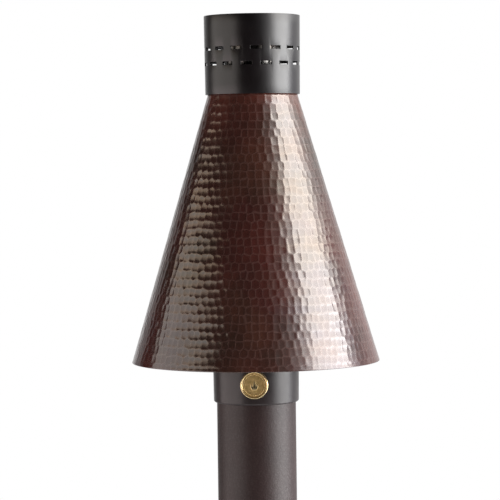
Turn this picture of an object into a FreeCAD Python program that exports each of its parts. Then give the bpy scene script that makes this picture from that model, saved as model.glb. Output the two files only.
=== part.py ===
"""Gas tiki torch: a hammered copper cone and a slotted wind guard over a burner, on a round post.

Millimetres, +Z up. The origin is on the ground at the post's axis, and the medallion faces -Y, the front.
Each function below makes one sub-part, and main() writes every sub-part to parts/NAME.step.
"""
import FreeCAD, Part
import math
import os

from FreeCAD import Vector

# ---- post and base -------------------------------------------------------------------------
POST_RADIUS = 38.1
POST_WALL = 3.2
POST_LENGTH = 1524.0
POST_CLEARANCE = 0.5            # round the post in the base socket and in the fitter
FLANGE_THICKNESS = 9.5
FLANGE_EDGE = 19.15             # metal between the bolt circle and the rim
FLANGE_ROUND = 2.0
SOCKET_WALL = 7.0
SOCKET_HEIGHT = 45.0
SOCKET_FILLET = 6.0
SOCKET_CHAMFER = 1.5
BOLT_CIRCLE_RADIUS = 69.85
BOLT_HOLE_RADIUS = 5.6
BOLT_COUNT = 4
COVER_GAP = 4.0                 # between the flange's rim and the cover's skirt
COVER_WALL = 1.6
COVER_SKIRT = 14.0
COVER_HEADROOM = 12.0           # between the socket's top and the cover's dome
COVER_NECK = 8.0
COVER_CLEARANCE = 0.6           # round the post in the sliding cover

# ---- fitter on top of the post ---------------------------------------------------------------
FITTER_WALL = 2.45              # at the lower edge, where it is thinnest
FITTER_DRAFT = 0.6              # degrees
FITTER_DEPTH = 60.0             # how far it reaches down over the post
FITTER_DECK = 7.0
FITTER_SHOWING = 39.4           # how much of it shows below the cone
EDGE_ROUND = 2.0
SET_SCREW_RADIUS = 3.175
SET_SCREW_LENGTH = 8.0
SET_SCREW_COUNT = 3
SET_SCREW_KEY = 3.175           # width across the flats of the hexagon socket
SET_SCREW_KEY_DEPTH = 3.0
FITTER_SCREW_HEIGHT = 48.0      # above the fitter's lower edge, behind the cone
FITTER_SCREW_AZIMUTH = 60.0     # of the first screw, from the front
FITTER_BOSS_RADIUS = 6.0
FITTER_BOSS_PROUD = 3.0
DECK_ROUND = 3.0
BASE_SCREW_HEIGHT = 28.0        # above the flange
BASE_SCREW_AZIMUTH = 0.0

# ---- medallion ---------------------------------------------------------------------------------
MEDALLION_RADIUS = 13.2
MEDALLION_THICKNESS = 3.0
MEDALLION_RIM = 1.3
MEDALLION_DISH = 0.6
MEDALLION_HEIGHT = 20.0         # of its centre above the fitter's lower edge
MEDALLION_PEG_RADIUS = 2.5
PAD_RADIUS = 11.8
PAD_PROUD = 0.8

# ---- shade: cone, wind guard and the ring that joins them ---------------------------------------
CONE_RADIUS = 119.3             # outside, at the lower edge
CONE_MOUTH_RADIUS = 43.2        # outside, where the wind guard starts
CONE_SHOWING = 256.3            # height between those two
CONE_WALL = 1.0
GUARD_GAP = 0.7                 # between the cone and the wind guard's lower edge
GUARD_WALL = 1.5
GUARD_FLARE = 0.7               # how much wider the wind guard is at its top
GUARD_HEIGHT = 75.3
SLOT_COUNT = 15
SLOT_LENGTH = 10.8
SLOT_HEIGHT = 3.2
SLOT_CORNER = 0.5
SLOT_ROWS = (29.0, 43.4)        # heights above the wind guard's lower edge
SLOT_PHASE = 7.4                # degrees from the front to the upper row's first slot
NECK_RING_START = 5.0           # above the wind guard's lower edge
NECK_RING_HEIGHT = 10.0
NECK_CLEARANCE = 0.15
NECK_SCREW_RADIUS = 1.5
NECK_SCREW_HEAD_RADIUS = 2.8
NECK_SCREW_HEAD = 1.9
NECK_SCREW_RECESS = 0.9
NECK_SCREW_BLADE = 0.7
NECK_SCREW_COUNT = 3
NECK_SCREW_AZIMUTH = 60.0
NECK_SCREW_COVER = 0.7          # metal left in the ring past a screw's tip

# ---- gas pipe, fittings and burner ---------------------------------------------------------------
PIPE_RADIUS = 8.55
PIPE_BORE = 6.25
TUBE_RADIUS = 6.35
TUBE_WALL = 0.9
TUBE_CLEARANCE = 0.1
NUT_FLATS = 24.0
LOCKNUT_THICKNESS = 6.0
FLARE_NUT_LENGTH = 22.0
FLARE_RADIUS = 8.0
FLARE_LENGTH = 12.0
ENGAGEMENT = 12.0               # of every pipe thread
INLET_BARREL_RADIUS = 13.0
INLET_RECESS = 1.0              # between the ground and the inlet's mouth
INLET_BORE = 9.13
INLET_BORE_LENGTH = 16.0
INLET_FLATS = 32.0
INLET_HEX = 12.0
UNION_BELOW_DECK = 14.0
UNION_HEX = 24.0
HOLE_CLEARANCE = 0.2
VALVE_GAP = 4.0                 # between the deck's locknut and the valve
VALVE_CENTRE = 26.0             # of the ball above the valve's lower end
VALVE_CAP_LENGTH = 15.0
VALVE_WAIST = 15.0
VALVE_FLATS = 26.0
BALL_RADIUS = 8.5
BALL_BORE = 5.5
BALL_CHAMBER = 9.2
BALL_CLEARANCE = 0.3
SEAT_REACH = 4.6                # from the ball's centre to the near end of each seat
BOSS_RADIUS = 8.5
BOSS_REACH = 21.0
PACKING_FLATS = 14.0
PACKING_LENGTH = 6.0
STEM_RADIUS = 4.2
STEM_CLEARANCE = 0.05
STEM_TONGUE = 1.6               # half the thickness of the flat that turns the ball
TONGUE_DEPTH = 2.0
LEVER_GAP = 1.5
LEVER_THICKNESS = 3.0
LEVER_LENGTH = 42.0
LEVER_WIDTH = 11.0
LEVER_HUB_RADIUS = 8.5
LEVER_SHOULDER = 0.35           # between the square's corners and the stem's surface
LEVER_NUT_FLATS = 9.0
LEVER_NUT_THICKNESS = 3.5
GRIP_WALL = 1.3
GRIP_LENGTH = 31.0
SEAT_RADIUS = 60.0              # of the carrier's upper edge, where the cone rests
SEAT_CLEARANCE = 0.3
CARRIER_THICKNESS = 3.0
CARRIER_RIM = 7.0
CARRIER_ARM = 11.0
CARRIER_HUB = 18.0
CARRIER_ARMS = 3
BURNER_RADIUS = 27.0
BURNER_WALL = 1.5
BURNER_START = 7.0              # of the can's straight side above the wind guard's lower edge
BURNER_CAN_HEIGHT = 46.0
BURNER_FLARE = 12.0
BURNER_BOSS = 14.0
BURNER_BOSS_RADIUS = 13.0
BURNER_CAP_THICKNESS = 2.5
PORT_RADIUS = 1.4
PORT_PITCH = 7.0                # between ports along a ring
PORT_RING_GAP = 7.5             # between rings, and from the outer ring to the cap's rim
BURNER_SPIGOT = 3.0
JET_THREAD_RADIUS = 4.5
JET_FLATS = 12.0
JET_HEX = 4.0
JET_BORE = 1.3

# ---- heights that follow from the sizes above ------------------------------------------------------
POST_FOOT = FLANGE_THICKNESS
POST_TOP = POST_FOOT + POST_LENGTH
FITTER_FOOT = POST_TOP - FITTER_DEPTH
DECK_TOP = POST_TOP + FITTER_DECK
CONE_FOOT = FITTER_FOOT + FITTER_SHOWING
GUARD_FOOT = CONE_FOOT + CONE_SHOWING
GUARD_TOP = GUARD_FOOT + GUARD_HEIGHT
VALVE_FOOT = DECK_TOP + LOCKNUT_THICKNESS + VALVE_GAP
BALL_HEIGHT = VALVE_FOOT + VALVE_CENTRE
CAP_FOOT = BALL_HEIGHT + BALL_CHAMBER + 2.0
VALVE_TOP = CAP_FOOT + VALVE_CAP_LENGTH
BURNER_FOOT = GUARD_FOOT + BURNER_START - BURNER_FLARE - BURNER_BOSS
BURNER_RIM = GUARD_FOOT + BURNER_START + BURNER_CAN_HEIGHT
UNION_TOP = POST_TOP - UNION_BELOW_DECK
UNION_FOOT = UNION_TOP - UNION_HEX
INLET_HEX_TOP = POST_FOOT + INLET_HEX
INLET_TOP = INLET_HEX_TOP + FLARE_LENGTH

SOCKET_BORE = POST_RADIUS + POST_CLEARANCE
SOCKET_RADIUS = SOCKET_BORE + SOCKET_WALL
FLANGE_RADIUS = BOLT_CIRCLE_RADIUS + FLANGE_EDGE
FITTER_RADIUS = SOCKET_BORE + FITTER_WALL
CONE_SLOPE = (CONE_RADIUS - CONE_MOUTH_RADIUS) / CONE_SHOWING
CONE_WALL_LEVEL = CONE_WALL * math.hypot(1.0, CONE_SLOPE)   # the wall, measured level
GUARD_RADIUS = CONE_MOUTH_RADIUS + GUARD_GAP + GUARD_WALL   # outside, at the lower edge
GUARD_TOP_RADIUS = GUARD_RADIUS + GUARD_FLARE
GUARD_SLOPE = GUARD_FLARE / GUARD_HEIGHT
LEVER_SQUARE = STEM_RADIUS * math.sqrt(0.5) - LEVER_SHOULDER    # half the width of the stem's square
LEVER_BACK = BOSS_REACH + PACKING_LENGTH + LEVER_GAP
LEVER_FRONT = LEVER_BACK + LEVER_THICKNESS
NECK_TOP = GUARD_FOOT + NECK_RING_START + NECK_RING_HEIGHT
SEAT_HEIGHT = CONE_FOOT + (CONE_RADIUS - CONE_WALL_LEVEL - SEAT_CLEARANCE - SEAT_RADIUS) / CONE_SLOPE


def cone_outside(z):
    """The cone's outer radius at height z."""
    return CONE_RADIUS - CONE_SLOPE * (z - CONE_FOOT)


def cone_inside(z):
    """The cone's inner radius at height z."""
    return cone_outside(z) - CONE_WALL_LEVEL


def guard_outside(z):
    """The wind guard's outer radius at height z."""
    return GUARD_RADIUS + GUARD_SLOPE * (z - GUARD_FOOT)


def fitter_outside(z):
    """The fitter's outer radius at height z: it widens upwards with the casting's draft."""
    return FITTER_RADIUS + math.tan(math.radians(FITTER_DRAFT)) * (z - FITTER_FOOT)


# ---- building blocks -----------------------------------------------------------------------------
def rod(radius, low, high):
    """A solid cylinder on the Z axis."""
    return Part.makeCylinder(radius, high - low, Vector(0, 0, low))


def tube(outer, inner, low, high):
    """A hollow cylinder on the Z axis."""
    return rod(outer, low, high).cut(rod(inner, low, high))


def hexagon(flats, low, high):
    """A hexagonal bar on the Z axis, with the given width across its flats."""
    corner = flats / math.sqrt(3.0)
    points = [Vector(corner * math.cos(math.radians(a)), corner * math.sin(math.radians(a)), low)
              for a in range(0, 361, 60)]
    return Part.Face(Part.makePolygon(points)).extrude(Vector(0, 0, high - low))


def nut(flats, bore, low, high):
    """A hexagon nut on the Z axis with its corners turned off at both ends."""
    corner = flats / math.sqrt(3.0)
    chamfer = (corner - flats / 2.0) * 0.9
    blank = turned((0, low), (flats / 2.0, low), (corner, low + chamfer), (corner, high - chamfer),
                   (flats / 2.0, high), (0, high))
    return hexagon(flats, low, high).common(blank).cut(rod(bore, low, high))


def turned(start, *steps):
    """A solid of revolution about Z. Points are (radius, height), and a pair of points is an arc."""
    here = Vector(start[0], 0, start[1])
    first = here
    edges = []
    for step in steps:
        if isinstance(step[0], tuple):
            through = Vector(step[0][0], 0, step[0][1])
            end = Vector(step[1][0], 0, step[1][1])
            edges.append(Part.Arc(here, through, end).toShape())
        else:
            end = Vector(step[0], 0, step[1])
            edges.append(Part.makeLine(here, end))
        here = end
    edges.append(Part.makeLine(here, first))
    return Part.Face(Part.Wire(edges)).revolve(Vector(0, 0, 0), Vector(0, 0, 1), 360)


def around(shape, count, phase=0.0):
    """Copies of a shape, evenly spaced about the Z axis."""
    copies = []
    for k in range(count):
        copy = shape.copy()
        copy.rotate(Vector(0, 0, 0), Vector(0, 0, 1), phase + 360.0 * k / count)
        copies.append(copy)
    return copies


def facing_front(shape, z):
    """Turns a shape made on the Z axis so that its axis leaves the origin towards the front, at height z."""
    shape.rotate(Vector(0, 0, 0), Vector(1, 0, 0), 90)
    shape.translate(Vector(0, 0, z))
    return shape


def facing_out(shape, z, azimuth):
    """The same, with the axis leaving at an azimuth, in degrees from the front towards +X."""
    shape = facing_front(shape, z)
    shape.rotate(Vector(0, 0, 0), Vector(0, 0, 1), azimuth)
    return shape


def ring_of(make, count, first, z):
    """Copies of a shape that leave the post at height z, evenly spaced from the first azimuth."""
    return [facing_out(make(), z, first + 360.0 * k / count) for k in range(count)]


def set_screw():
    """A socket set screw that presses on the post."""
    end = POST_RADIUS + SET_SCREW_LENGTH
    key = hexagon(SET_SCREW_KEY, end - SET_SCREW_KEY_DEPTH, end)
    return rod(SET_SCREW_RADIUS, POST_RADIUS, end).cut(key)


def set_screw_hole():
    """The threaded hole that a set screw sits in."""
    return rod(SET_SCREW_RADIUS, 0, SOCKET_RADIUS + SET_SCREW_LENGTH)


# ---- post and base -------------------------------------------------------------------------------
def base_flange():
    """A round cast flange with a socket for the post."""
    hub = SOCKET_RADIUS
    top = FLANGE_THICKNESS + SOCKET_HEIGHT
    sag = SOCKET_FILLET * (1.0 - math.sqrt(0.5))
    blank = turned((0, 0), (FLANGE_RADIUS, 0), (FLANGE_RADIUS, FLANGE_THICKNESS - FLANGE_ROUND),
                   (FLANGE_RADIUS - FLANGE_ROUND, FLANGE_THICKNESS), (hub + SOCKET_FILLET, FLANGE_THICKNESS),
                   ((hub + sag, FLANGE_THICKNESS + sag), (hub, FLANGE_THICKNESS + SOCKET_FILLET)),
                   (hub, top - SOCKET_CHAMFER), (hub - SOCKET_CHAMFER, top), (0, top))
    blank = blank.cut(rod(SOCKET_BORE, FLANGE_THICKNESS, top))
    blank = blank.cut(rod(INLET_BARREL_RADIUS, 0, FLANGE_THICKNESS))
    hole = rod(BOLT_HOLE_RADIUS, 0, FLANGE_THICKNESS)
    hole.translate(Vector(BOLT_CIRCLE_RADIUS, 0, 0))
    blank = blank.cut(around(hole, BOLT_COUNT, 180.0 / BOLT_COUNT))
    height = FLANGE_THICKNESS + BASE_SCREW_HEIGHT
    return blank.cut(ring_of(set_screw_hole, SET_SCREW_COUNT, BASE_SCREW_AZIMUTH, height))


def base_screws():
    height = FLANGE_THICKNESS + BASE_SCREW_HEIGHT
    return Part.makeCompound(ring_of(set_screw, SET_SCREW_COUNT, BASE_SCREW_AZIMUTH, height))


def base_cover():
    """A spun bell that drops over the post and hides the flange and its bolts."""
    skirt = FLANGE_RADIUS + COVER_GAP + COVER_WALL
    throat = POST_RADIUS + COVER_CLEARANCE
    dome = FLANGE_THICKNESS + SOCKET_HEIGHT + COVER_HEADROOM

    def bell(rim, neck, crown, top):
        half = math.sqrt(0.5)
        through = (neck + (rim - neck) * half, COVER_SKIRT + (crown - COVER_SKIRT) * half)
        return turned((0, 0), (rim, 0), (rim, COVER_SKIRT), (through, (neck, crown)), (neck, top), (0, top))

    top = dome + COVER_NECK
    outside = bell(skirt, throat + COVER_WALL, dome, top)
    inside = bell(skirt - COVER_WALL, throat, dome - COVER_WALL, top)
    return outside.cut(inside)


def post():
    return tube(POST_RADIUS, POST_RADIUS - POST_WALL, POST_FOOT, POST_TOP)


# ---- gas supply inside the post ------------------------------------------------------------------
def inlet_fitting():
    """Screwed into the flange from above: female thread below, male flare above."""
    low = INLET_RECESS
    tube_bore = TUBE_RADIUS - TUBE_WALL
    body = rod(INLET_BARREL_RADIUS, low, POST_FOOT)
    body = body.fuse(nut(INLET_FLATS, tube_bore, POST_FOOT, INLET_HEX_TOP))
    body = body.fuse(rod(FLARE_RADIUS, INLET_HEX_TOP, INLET_TOP))
    body = body.cut(rod(INLET_BORE, low, low + INLET_BORE_LENGTH))
    return body.cut(rod(tube_bore, low, INLET_TOP)).removeSplitter()


def flare_nut(mouth, direction):
    """Holds the tube's end on a male flare that ends at height mouth. The tube runs up or down from it."""
    start = mouth - FLARE_LENGTH * 0.7
    end = start + FLARE_NUT_LENGTH
    shape = nut(NUT_FLATS, TUBE_RADIUS + TUBE_CLEARANCE, start, end)
    shape = shape.cut(rod(FLARE_RADIUS, start, mouth))
    if direction < 0:
        shape.rotate(Vector(0, 0, mouth), Vector(1, 0, 0), 180)
    return shape


def flare_nuts():
    return Part.makeCompound([flare_nut(INLET_TOP, 1), flare_nut(UNION_FOOT - FLARE_LENGTH, -1)])


def gas_tube():
    return tube(TUBE_RADIUS, TUBE_RADIUS - TUBE_WALL, INLET_TOP, UNION_FOOT - FLARE_LENGTH)


def supply_union():
    """Joins the tube's upper end to the nipple that passes through the fitter's deck."""
    body = nut(NUT_FLATS, PIPE_BORE, UNION_FOOT, UNION_TOP)
    body = body.cut(rod(PIPE_RADIUS, UNION_TOP - ENGAGEMENT, UNION_TOP))
    flare = tube(FLARE_RADIUS, TUBE_RADIUS - TUBE_WALL, UNION_FOOT - FLARE_LENGTH, UNION_FOOT + 2.0)
    return body.fuse(flare).removeSplitter()


def deck_nipple():
    return tube(PIPE_RADIUS, PIPE_BORE, UNION_TOP - ENGAGEMENT, VALVE_FOOT + ENGAGEMENT)


def deck_locknuts():
    below = nut(NUT_FLATS, PIPE_RADIUS, POST_TOP - LOCKNUT_THICKNESS, POST_TOP)
    above = nut(NUT_FLATS, PIPE_RADIUS, DECK_TOP, DECK_TOP + LOCKNUT_THICKNESS)
    return Part.makeCompound([below, above])


# ---- fitter and medallion --------------------------------------------------------------------------
def fitter():
    """The cap on the post: a drafted sleeve with a deck, a pad for the medallion and threaded holes."""
    wide = fitter_outside(DECK_TOP)
    low = FITTER_FOOT
    sag = 1.0 - math.sqrt(0.5)
    curve = EDGE_ROUND * sag
    crown = DECK_ROUND * sag
    edge_end = (fitter_outside(low + EDGE_ROUND), low + EDGE_ROUND)
    crown_end = (wide - DECK_ROUND, DECK_TOP)
    blank = turned((0, low), (FITTER_RADIUS - EDGE_ROUND, low),
                   ((FITTER_RADIUS - curve, low + curve), edge_end),
                   (wide, DECK_TOP - DECK_ROUND),
                   ((wide - crown, DECK_TOP - crown), crown_end),
                   (0, DECK_TOP))
    pad = facing_front(rod(PAD_RADIUS, POST_RADIUS, medallion_back()), low + MEDALLION_HEIGHT)
    screw_height = low + FITTER_SCREW_HEIGHT
    bosses = ring_of(fitter_boss, SET_SCREW_COUNT, FITTER_SCREW_AZIMUTH, screw_height)
    blank = blank.fuse([pad] + bosses).cut(rod(SOCKET_BORE, low, POST_TOP))
    blank = blank.cut(rod(PIPE_RADIUS + HOLE_CLEARANCE, POST_TOP, DECK_TOP))
    peg_hole = facing_front(rod(MEDALLION_PEG_RADIUS, POST_RADIUS, medallion_back()), low + MEDALLION_HEIGHT)
    screw_holes = ring_of(set_screw_hole, SET_SCREW_COUNT, FITTER_SCREW_AZIMUTH, screw_height)
    return blank.cut([peg_hole] + screw_holes).removeSplitter()


def fitter_boss():
    """The thickening that gives a set screw enough thread in the fitter's thin wall."""
    face = fitter_outside(FITTER_FOOT + FITTER_SCREW_HEIGHT) + FITTER_BOSS_PROUD
    root = FITTER_BOSS_RADIUS + FITTER_BOSS_PROUD / 2.0
    return turned((0, POST_RADIUS), (root, POST_RADIUS), (FITTER_BOSS_RADIUS, face), (0, face))


def medallion_back():
    """How far the medallion's back is from the post's axis."""
    return fitter_outside(FITTER_FOOT + MEDALLION_HEIGHT) + PAD_PROUD


def medallion():
    """A dished disc with a raised rim, held by a peg in the fitter's wall."""
    back = medallion_back()
    front = back + MEDALLION_THICKNESS
    inner = MEDALLION_RADIUS - MEDALLION_RIM
    disc = turned((0, back), (MEDALLION_RADIUS, back), (MEDALLION_RADIUS, front - 0.6),
                  ((MEDALLION_RADIUS - 0.18, front - 0.18), (MEDALLION_RADIUS - 0.6, front)),
                  (inner, front), (inner - 0.4, front - MEDALLION_DISH), (0, front - MEDALLION_DISH))
    peg = rod(MEDALLION_PEG_RADIUS, SOCKET_BORE, back)
    return facing_front(disc.fuse(peg), FITTER_FOOT + MEDALLION_HEIGHT)


def fitter_screws():
    height = FITTER_FOOT + FITTER_SCREW_HEIGHT
    return Part.makeCompound(ring_of(set_screw, SET_SCREW_COUNT, FITTER_SCREW_AZIMUTH, height))


# ---- gas valve ---------------------------------------------------------------------------------------
def valve_body():
    """The valve's lower half: the ball's chamber, open at the top, and a boss for the stem at the front."""
    hex_top = VALVE_FOOT + ENGAGEMENT
    boss = facing_front(rod(BOSS_RADIUS, 0, BOSS_REACH), BALL_HEIGHT)
    body = nut(VALVE_FLATS, BALL_BORE, VALVE_FOOT, hex_top).fuse([rod(VALVE_WAIST, hex_top, CAP_FOOT), boss])
    body = body.cut(rod(PIPE_RADIUS, VALVE_FOOT, VALVE_FOOT + ENGAGEMENT))
    body = body.cut(rod(BALL_BORE, VALVE_FOOT, CAP_FOOT))
    body = body.cut(rod(BALL_CHAMBER, BALL_HEIGHT - BALL_CHAMBER, CAP_FOOT))
    stem_hole = facing_front(rod(STEM_RADIUS + STEM_CLEARANCE, 0, BOSS_REACH), BALL_HEIGHT)
    return body.cut(stem_hole).removeSplitter()


def valve_cap():
    """The valve's upper end, screwed into the body over the ball."""
    hexes = nut(VALVE_FLATS, BALL_BORE, CAP_FOOT, VALVE_TOP)
    spigot = tube(BALL_CHAMBER, BALL_BORE, BALL_HEIGHT + BALL_CHAMBER, CAP_FOOT)
    cap = hexes.fuse(spigot)
    return cap.cut(rod(PIPE_RADIUS, VALVE_TOP - ENGAGEMENT, VALVE_TOP)).removeSplitter()


def valve_seats():
    """Two rings that seal against the ball."""
    ball = Part.makeSphere(BALL_RADIUS + BALL_CLEARANCE, Vector(0, 0, BALL_HEIGHT))
    lower = tube(BALL_CHAMBER, BALL_BORE, BALL_HEIGHT - BALL_CHAMBER, BALL_HEIGHT - SEAT_REACH)
    upper = tube(BALL_CHAMBER, BALL_BORE, BALL_HEIGHT + SEAT_REACH, BALL_HEIGHT + BALL_CHAMBER)
    return Part.makeCompound([lower.cut(ball), upper.cut(ball)])


def valve_ball():
    """Closed at rest, so its bore lies across the pipe."""
    ball = Part.makeSphere(BALL_RADIUS, Vector(0, 0, BALL_HEIGHT))
    start = Vector(-BALL_RADIUS, 0, BALL_HEIGHT)
    across = Part.makeCylinder(BALL_BORE, 2 * BALL_RADIUS, start, Vector(1, 0, 0))
    return ball.cut(across).cut(stem_tongue())


def stem_tongue():
    """The flat on the stem's inner end that turns the ball."""
    return Part.makeBox(2 * STEM_RADIUS, TONGUE_DEPTH + 1.0, 2 * STEM_TONGUE,
                        Vector(-STEM_RADIUS, -BALL_RADIUS - 1.0, BALL_HEIGHT - STEM_TONGUE)).common(
        facing_front(rod(STEM_RADIUS, 0, 2 * BALL_RADIUS), BALL_HEIGHT))


def valve_stem():
    """Turns the ball. From its inner end: a tongue, a round shank, a square for the lever and a tail."""
    round_part = facing_front(rod(STEM_RADIUS, BALL_RADIUS, LEVER_BACK), BALL_HEIGHT)
    side = 2 * LEVER_SQUARE
    square = Part.makeBox(side, LEVER_THICKNESS, side,
                          Vector(-LEVER_SQUARE, -LEVER_FRONT, BALL_HEIGHT - LEVER_SQUARE))
    tail = facing_front(rod(LEVER_SQUARE, LEVER_FRONT, LEVER_FRONT + LEVER_NUT_THICKNESS + 1.0), BALL_HEIGHT)
    return round_part.fuse(square).fuse(tail).fuse(stem_tongue()).removeSplitter()


def packing_nut():
    shape = nut(PACKING_FLATS, STEM_RADIUS + STEM_CLEARANCE, BOSS_REACH, BOSS_REACH + PACKING_LENGTH)
    return facing_front(shape, BALL_HEIGHT)


def lever_blade(grown):
    """The lever's flat arm with its round end, thicker all round by grown."""
    half = LEVER_WIDTH / 2.0 + grown
    low = LEVER_BACK - grown
    thickness = LEVER_THICKNESS + 2 * grown
    tip = Part.makeCylinder(half, thickness, Vector(LEVER_LENGTH, 0, low))
    arm = Part.makeBox(LEVER_LENGTH, 2 * half, thickness, Vector(0, -half, low))
    return arm.fuse(tip).removeSplitter()


def valve_lever():
    """A flat lever that points sideways when the valve is closed."""
    side = 2 * LEVER_SQUARE
    blade = lever_blade(0).fuse(rod(LEVER_HUB_RADIUS, LEVER_BACK, LEVER_FRONT))
    square = Part.makeBox(side, side, LEVER_THICKNESS, Vector(-LEVER_SQUARE, -LEVER_SQUARE, LEVER_BACK))
    return facing_front(blade.cut(square).removeSplitter(), BALL_HEIGHT)


def lever_grip():
    """A dipped vinyl sleeve over the lever's outer end."""
    half = LEVER_WIDTH / 2.0 + GRIP_WALL
    start = LEVER_LENGTH + LEVER_WIDTH / 2.0 - GRIP_LENGTH
    corner = Vector(start, -2 * half, LEVER_BACK - 2 * half)
    kept = Part.makeBox(GRIP_LENGTH + half, 4 * half, 4 * half, corner)
    return facing_front(lever_blade(GRIP_WALL).cut(lever_blade(0)).common(kept), BALL_HEIGHT)


def lever_nut():
    """Holds the lever on the stem's tail."""
    shape = nut(LEVER_NUT_FLATS, LEVER_SQUARE, LEVER_FRONT, LEVER_FRONT + LEVER_NUT_THICKNESS)
    return facing_front(shape, BALL_HEIGHT)


# ---- riser, shade carrier and burner -------------------------------------------------------------------
def riser_pipe():
    return tube(PIPE_RADIUS, PIPE_BORE, VALVE_TOP - ENGAGEMENT, BURNER_FOOT + ENGAGEMENT)


def shade_carrier():
    """A plate with three arms. Its bevelled rim is the seat that the cone drops over."""
    low, high = SEAT_HEIGHT - CARRIER_THICKNESS, SEAT_HEIGHT
    plate = turned((0, low), (cone_inside(low) - SEAT_CLEARANCE, low),
                   (cone_inside(high) - SEAT_CLEARANCE, high), (0, high))
    window = tube(SEAT_RADIUS - CARRIER_RIM, CARRIER_HUB, low, high)
    arm = Part.makeBox(SEAT_RADIUS, CARRIER_ARM, CARRIER_THICKNESS, Vector(0, -CARRIER_ARM / 2.0, low))
    windows = window.cut(around(arm, CARRIER_ARMS, 90.0))
    return plate.cut(windows).cut(rod(PIPE_RADIUS + HOLE_CLEARANCE, low, high))


def carrier_locknuts():
    low, high = SEAT_HEIGHT - CARRIER_THICKNESS, SEAT_HEIGHT
    below = nut(NUT_FLATS, PIPE_RADIUS, low - LOCKNUT_THICKNESS, low)
    above = nut(NUT_FLATS, PIPE_RADIUS, high, high + LOCKNUT_THICKNESS)
    return Part.makeCompound([below, above])


def burner_can():
    """A deep can that carries the gas up inside the wind guard, behind the slots, to the burner's cap."""
    flare = BURNER_FOOT + BURNER_BOSS
    rim = flare + BURNER_FLARE
    top = BURNER_RIM
    outside = turned((0, BURNER_FOOT), (BURNER_BOSS_RADIUS, BURNER_FOOT), (BURNER_BOSS_RADIUS, flare),
                     (BURNER_RADIUS, rim), (BURNER_RADIUS, top), (0, top))
    well = BURNER_RADIUS - BURNER_WALL
    inside = turned((0, flare + BURNER_WALL), (BURNER_BOSS_RADIUS - BURNER_WALL, flare + BURNER_WALL),
                    (well, rim + BURNER_WALL), (well, top), (0, top))
    can = outside.cut(inside)
    can = can.cut(rod(PIPE_RADIUS, BURNER_FOOT, BURNER_FOOT + ENGAGEMENT))
    return can.cut(rod(JET_THREAD_RADIUS, BURNER_FOOT, flare + BURNER_WALL))


def burner_cap():
    """The lid with the flame ports, spigoted into the can."""
    low = BURNER_RIM
    top = low + BURNER_CAP_THICKNESS
    spigot = BURNER_RADIUS - BURNER_WALL
    foot = low - BURNER_SPIGOT
    lid = turned((0, foot), (spigot, foot), (spigot, low), (BURNER_RADIUS, low),
                 (BURNER_RADIUS, top - 1.0), (BURNER_RADIUS - 1.0, top), (0, top))
    lid = lid.cut(rod(spigot - BURNER_WALL, foot, low)).cut(rod(PORT_RADIUS, low, top))
    circle = BURNER_RADIUS - PORT_RING_GAP
    while circle >= PORT_RING_GAP:
        port = rod(PORT_RADIUS, low, top)
        port.translate(Vector(circle, 0, 0))
        lid = lid.cut(around(port, round(2 * math.pi * circle / PORT_PITCH)))
        circle -= PORT_RING_GAP
    return lid


def gas_jet():
    """The metering orifice, screwed into the floor of the can above the riser's open end."""
    seat = BURNER_FOOT + BURNER_BOSS + BURNER_WALL
    head = nut(JET_FLATS, JET_BORE, seat, seat + JET_HEX)
    barrel = tube(JET_THREAD_RADIUS, JET_BORE, BURNER_FOOT + ENGAGEMENT, seat)
    return head.fuse(barrel).removeSplitter()


# ---- shade -------------------------------------------------------------------------------------------
NECK_SCREW_HEIGHT = GUARD_FOOT + NECK_RING_START + NECK_RING_HEIGHT / 2.0


def neck_screw_tip():
    """How far the neck screws reach from the axis: just short of the wind guard."""
    return guard_outside(NECK_SCREW_HEIGHT) - GUARD_WALL - NECK_SCREW_COVER


def neck_screw_hole():
    """The hole for a neck screw through the cone and into the ring."""
    return rod(NECK_SCREW_RADIUS, 0, neck_screw_tip())


def cone_shade():
    """One sheet of copper, rolled to a cone, whose neck reaches up inside the wind guard."""
    outside = turned((0, CONE_FOOT), (CONE_RADIUS, CONE_FOOT),
                     (cone_outside(NECK_TOP), NECK_TOP), (0, NECK_TOP))
    inside = turned((0, CONE_FOOT), (cone_inside(CONE_FOOT), CONE_FOOT),
                    (cone_inside(NECK_TOP), NECK_TOP), (0, NECK_TOP))
    holes = ring_of(neck_screw_hole, NECK_SCREW_COUNT, NECK_SCREW_AZIMUTH, NECK_SCREW_HEIGHT)
    return outside.cut(inside).cut(holes)


def wind_guard():
    """A slightly flared sleeve with two staggered rows of slots, which stands on the cone's neck."""
    outside = turned((0, GUARD_FOOT), (GUARD_RADIUS, GUARD_FOOT),
                     (GUARD_TOP_RADIUS, GUARD_TOP), (0, GUARD_TOP))
    inside = turned((0, GUARD_FOOT), (GUARD_RADIUS - GUARD_WALL, GUARD_FOOT),
                    (GUARD_TOP_RADIUS - GUARD_WALL, GUARD_TOP), (0, GUARD_TOP))
    sleeve = outside.cut(inside)
    corner = Vector(-SLOT_LENGTH / 2.0, -SLOT_HEIGHT / 2.0, 0)
    slot = Part.makeBox(SLOT_LENGTH, SLOT_HEIGHT, 2 * GUARD_RADIUS, corner)
    slot = slot.makeFillet(SLOT_CORNER, [e for e in slot.Edges if abs(e.tangentAt(0).z) > 0.9])
    pitch = 360.0 / SLOT_COUNT
    for row, height in enumerate(reversed(SLOT_ROWS)):
        first = facing_front(slot.copy(), GUARD_FOOT + height)
        sleeve = sleeve.cut(around(first, SLOT_COUNT, SLOT_PHASE + row * pitch / 2.0))
    return sleeve


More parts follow.
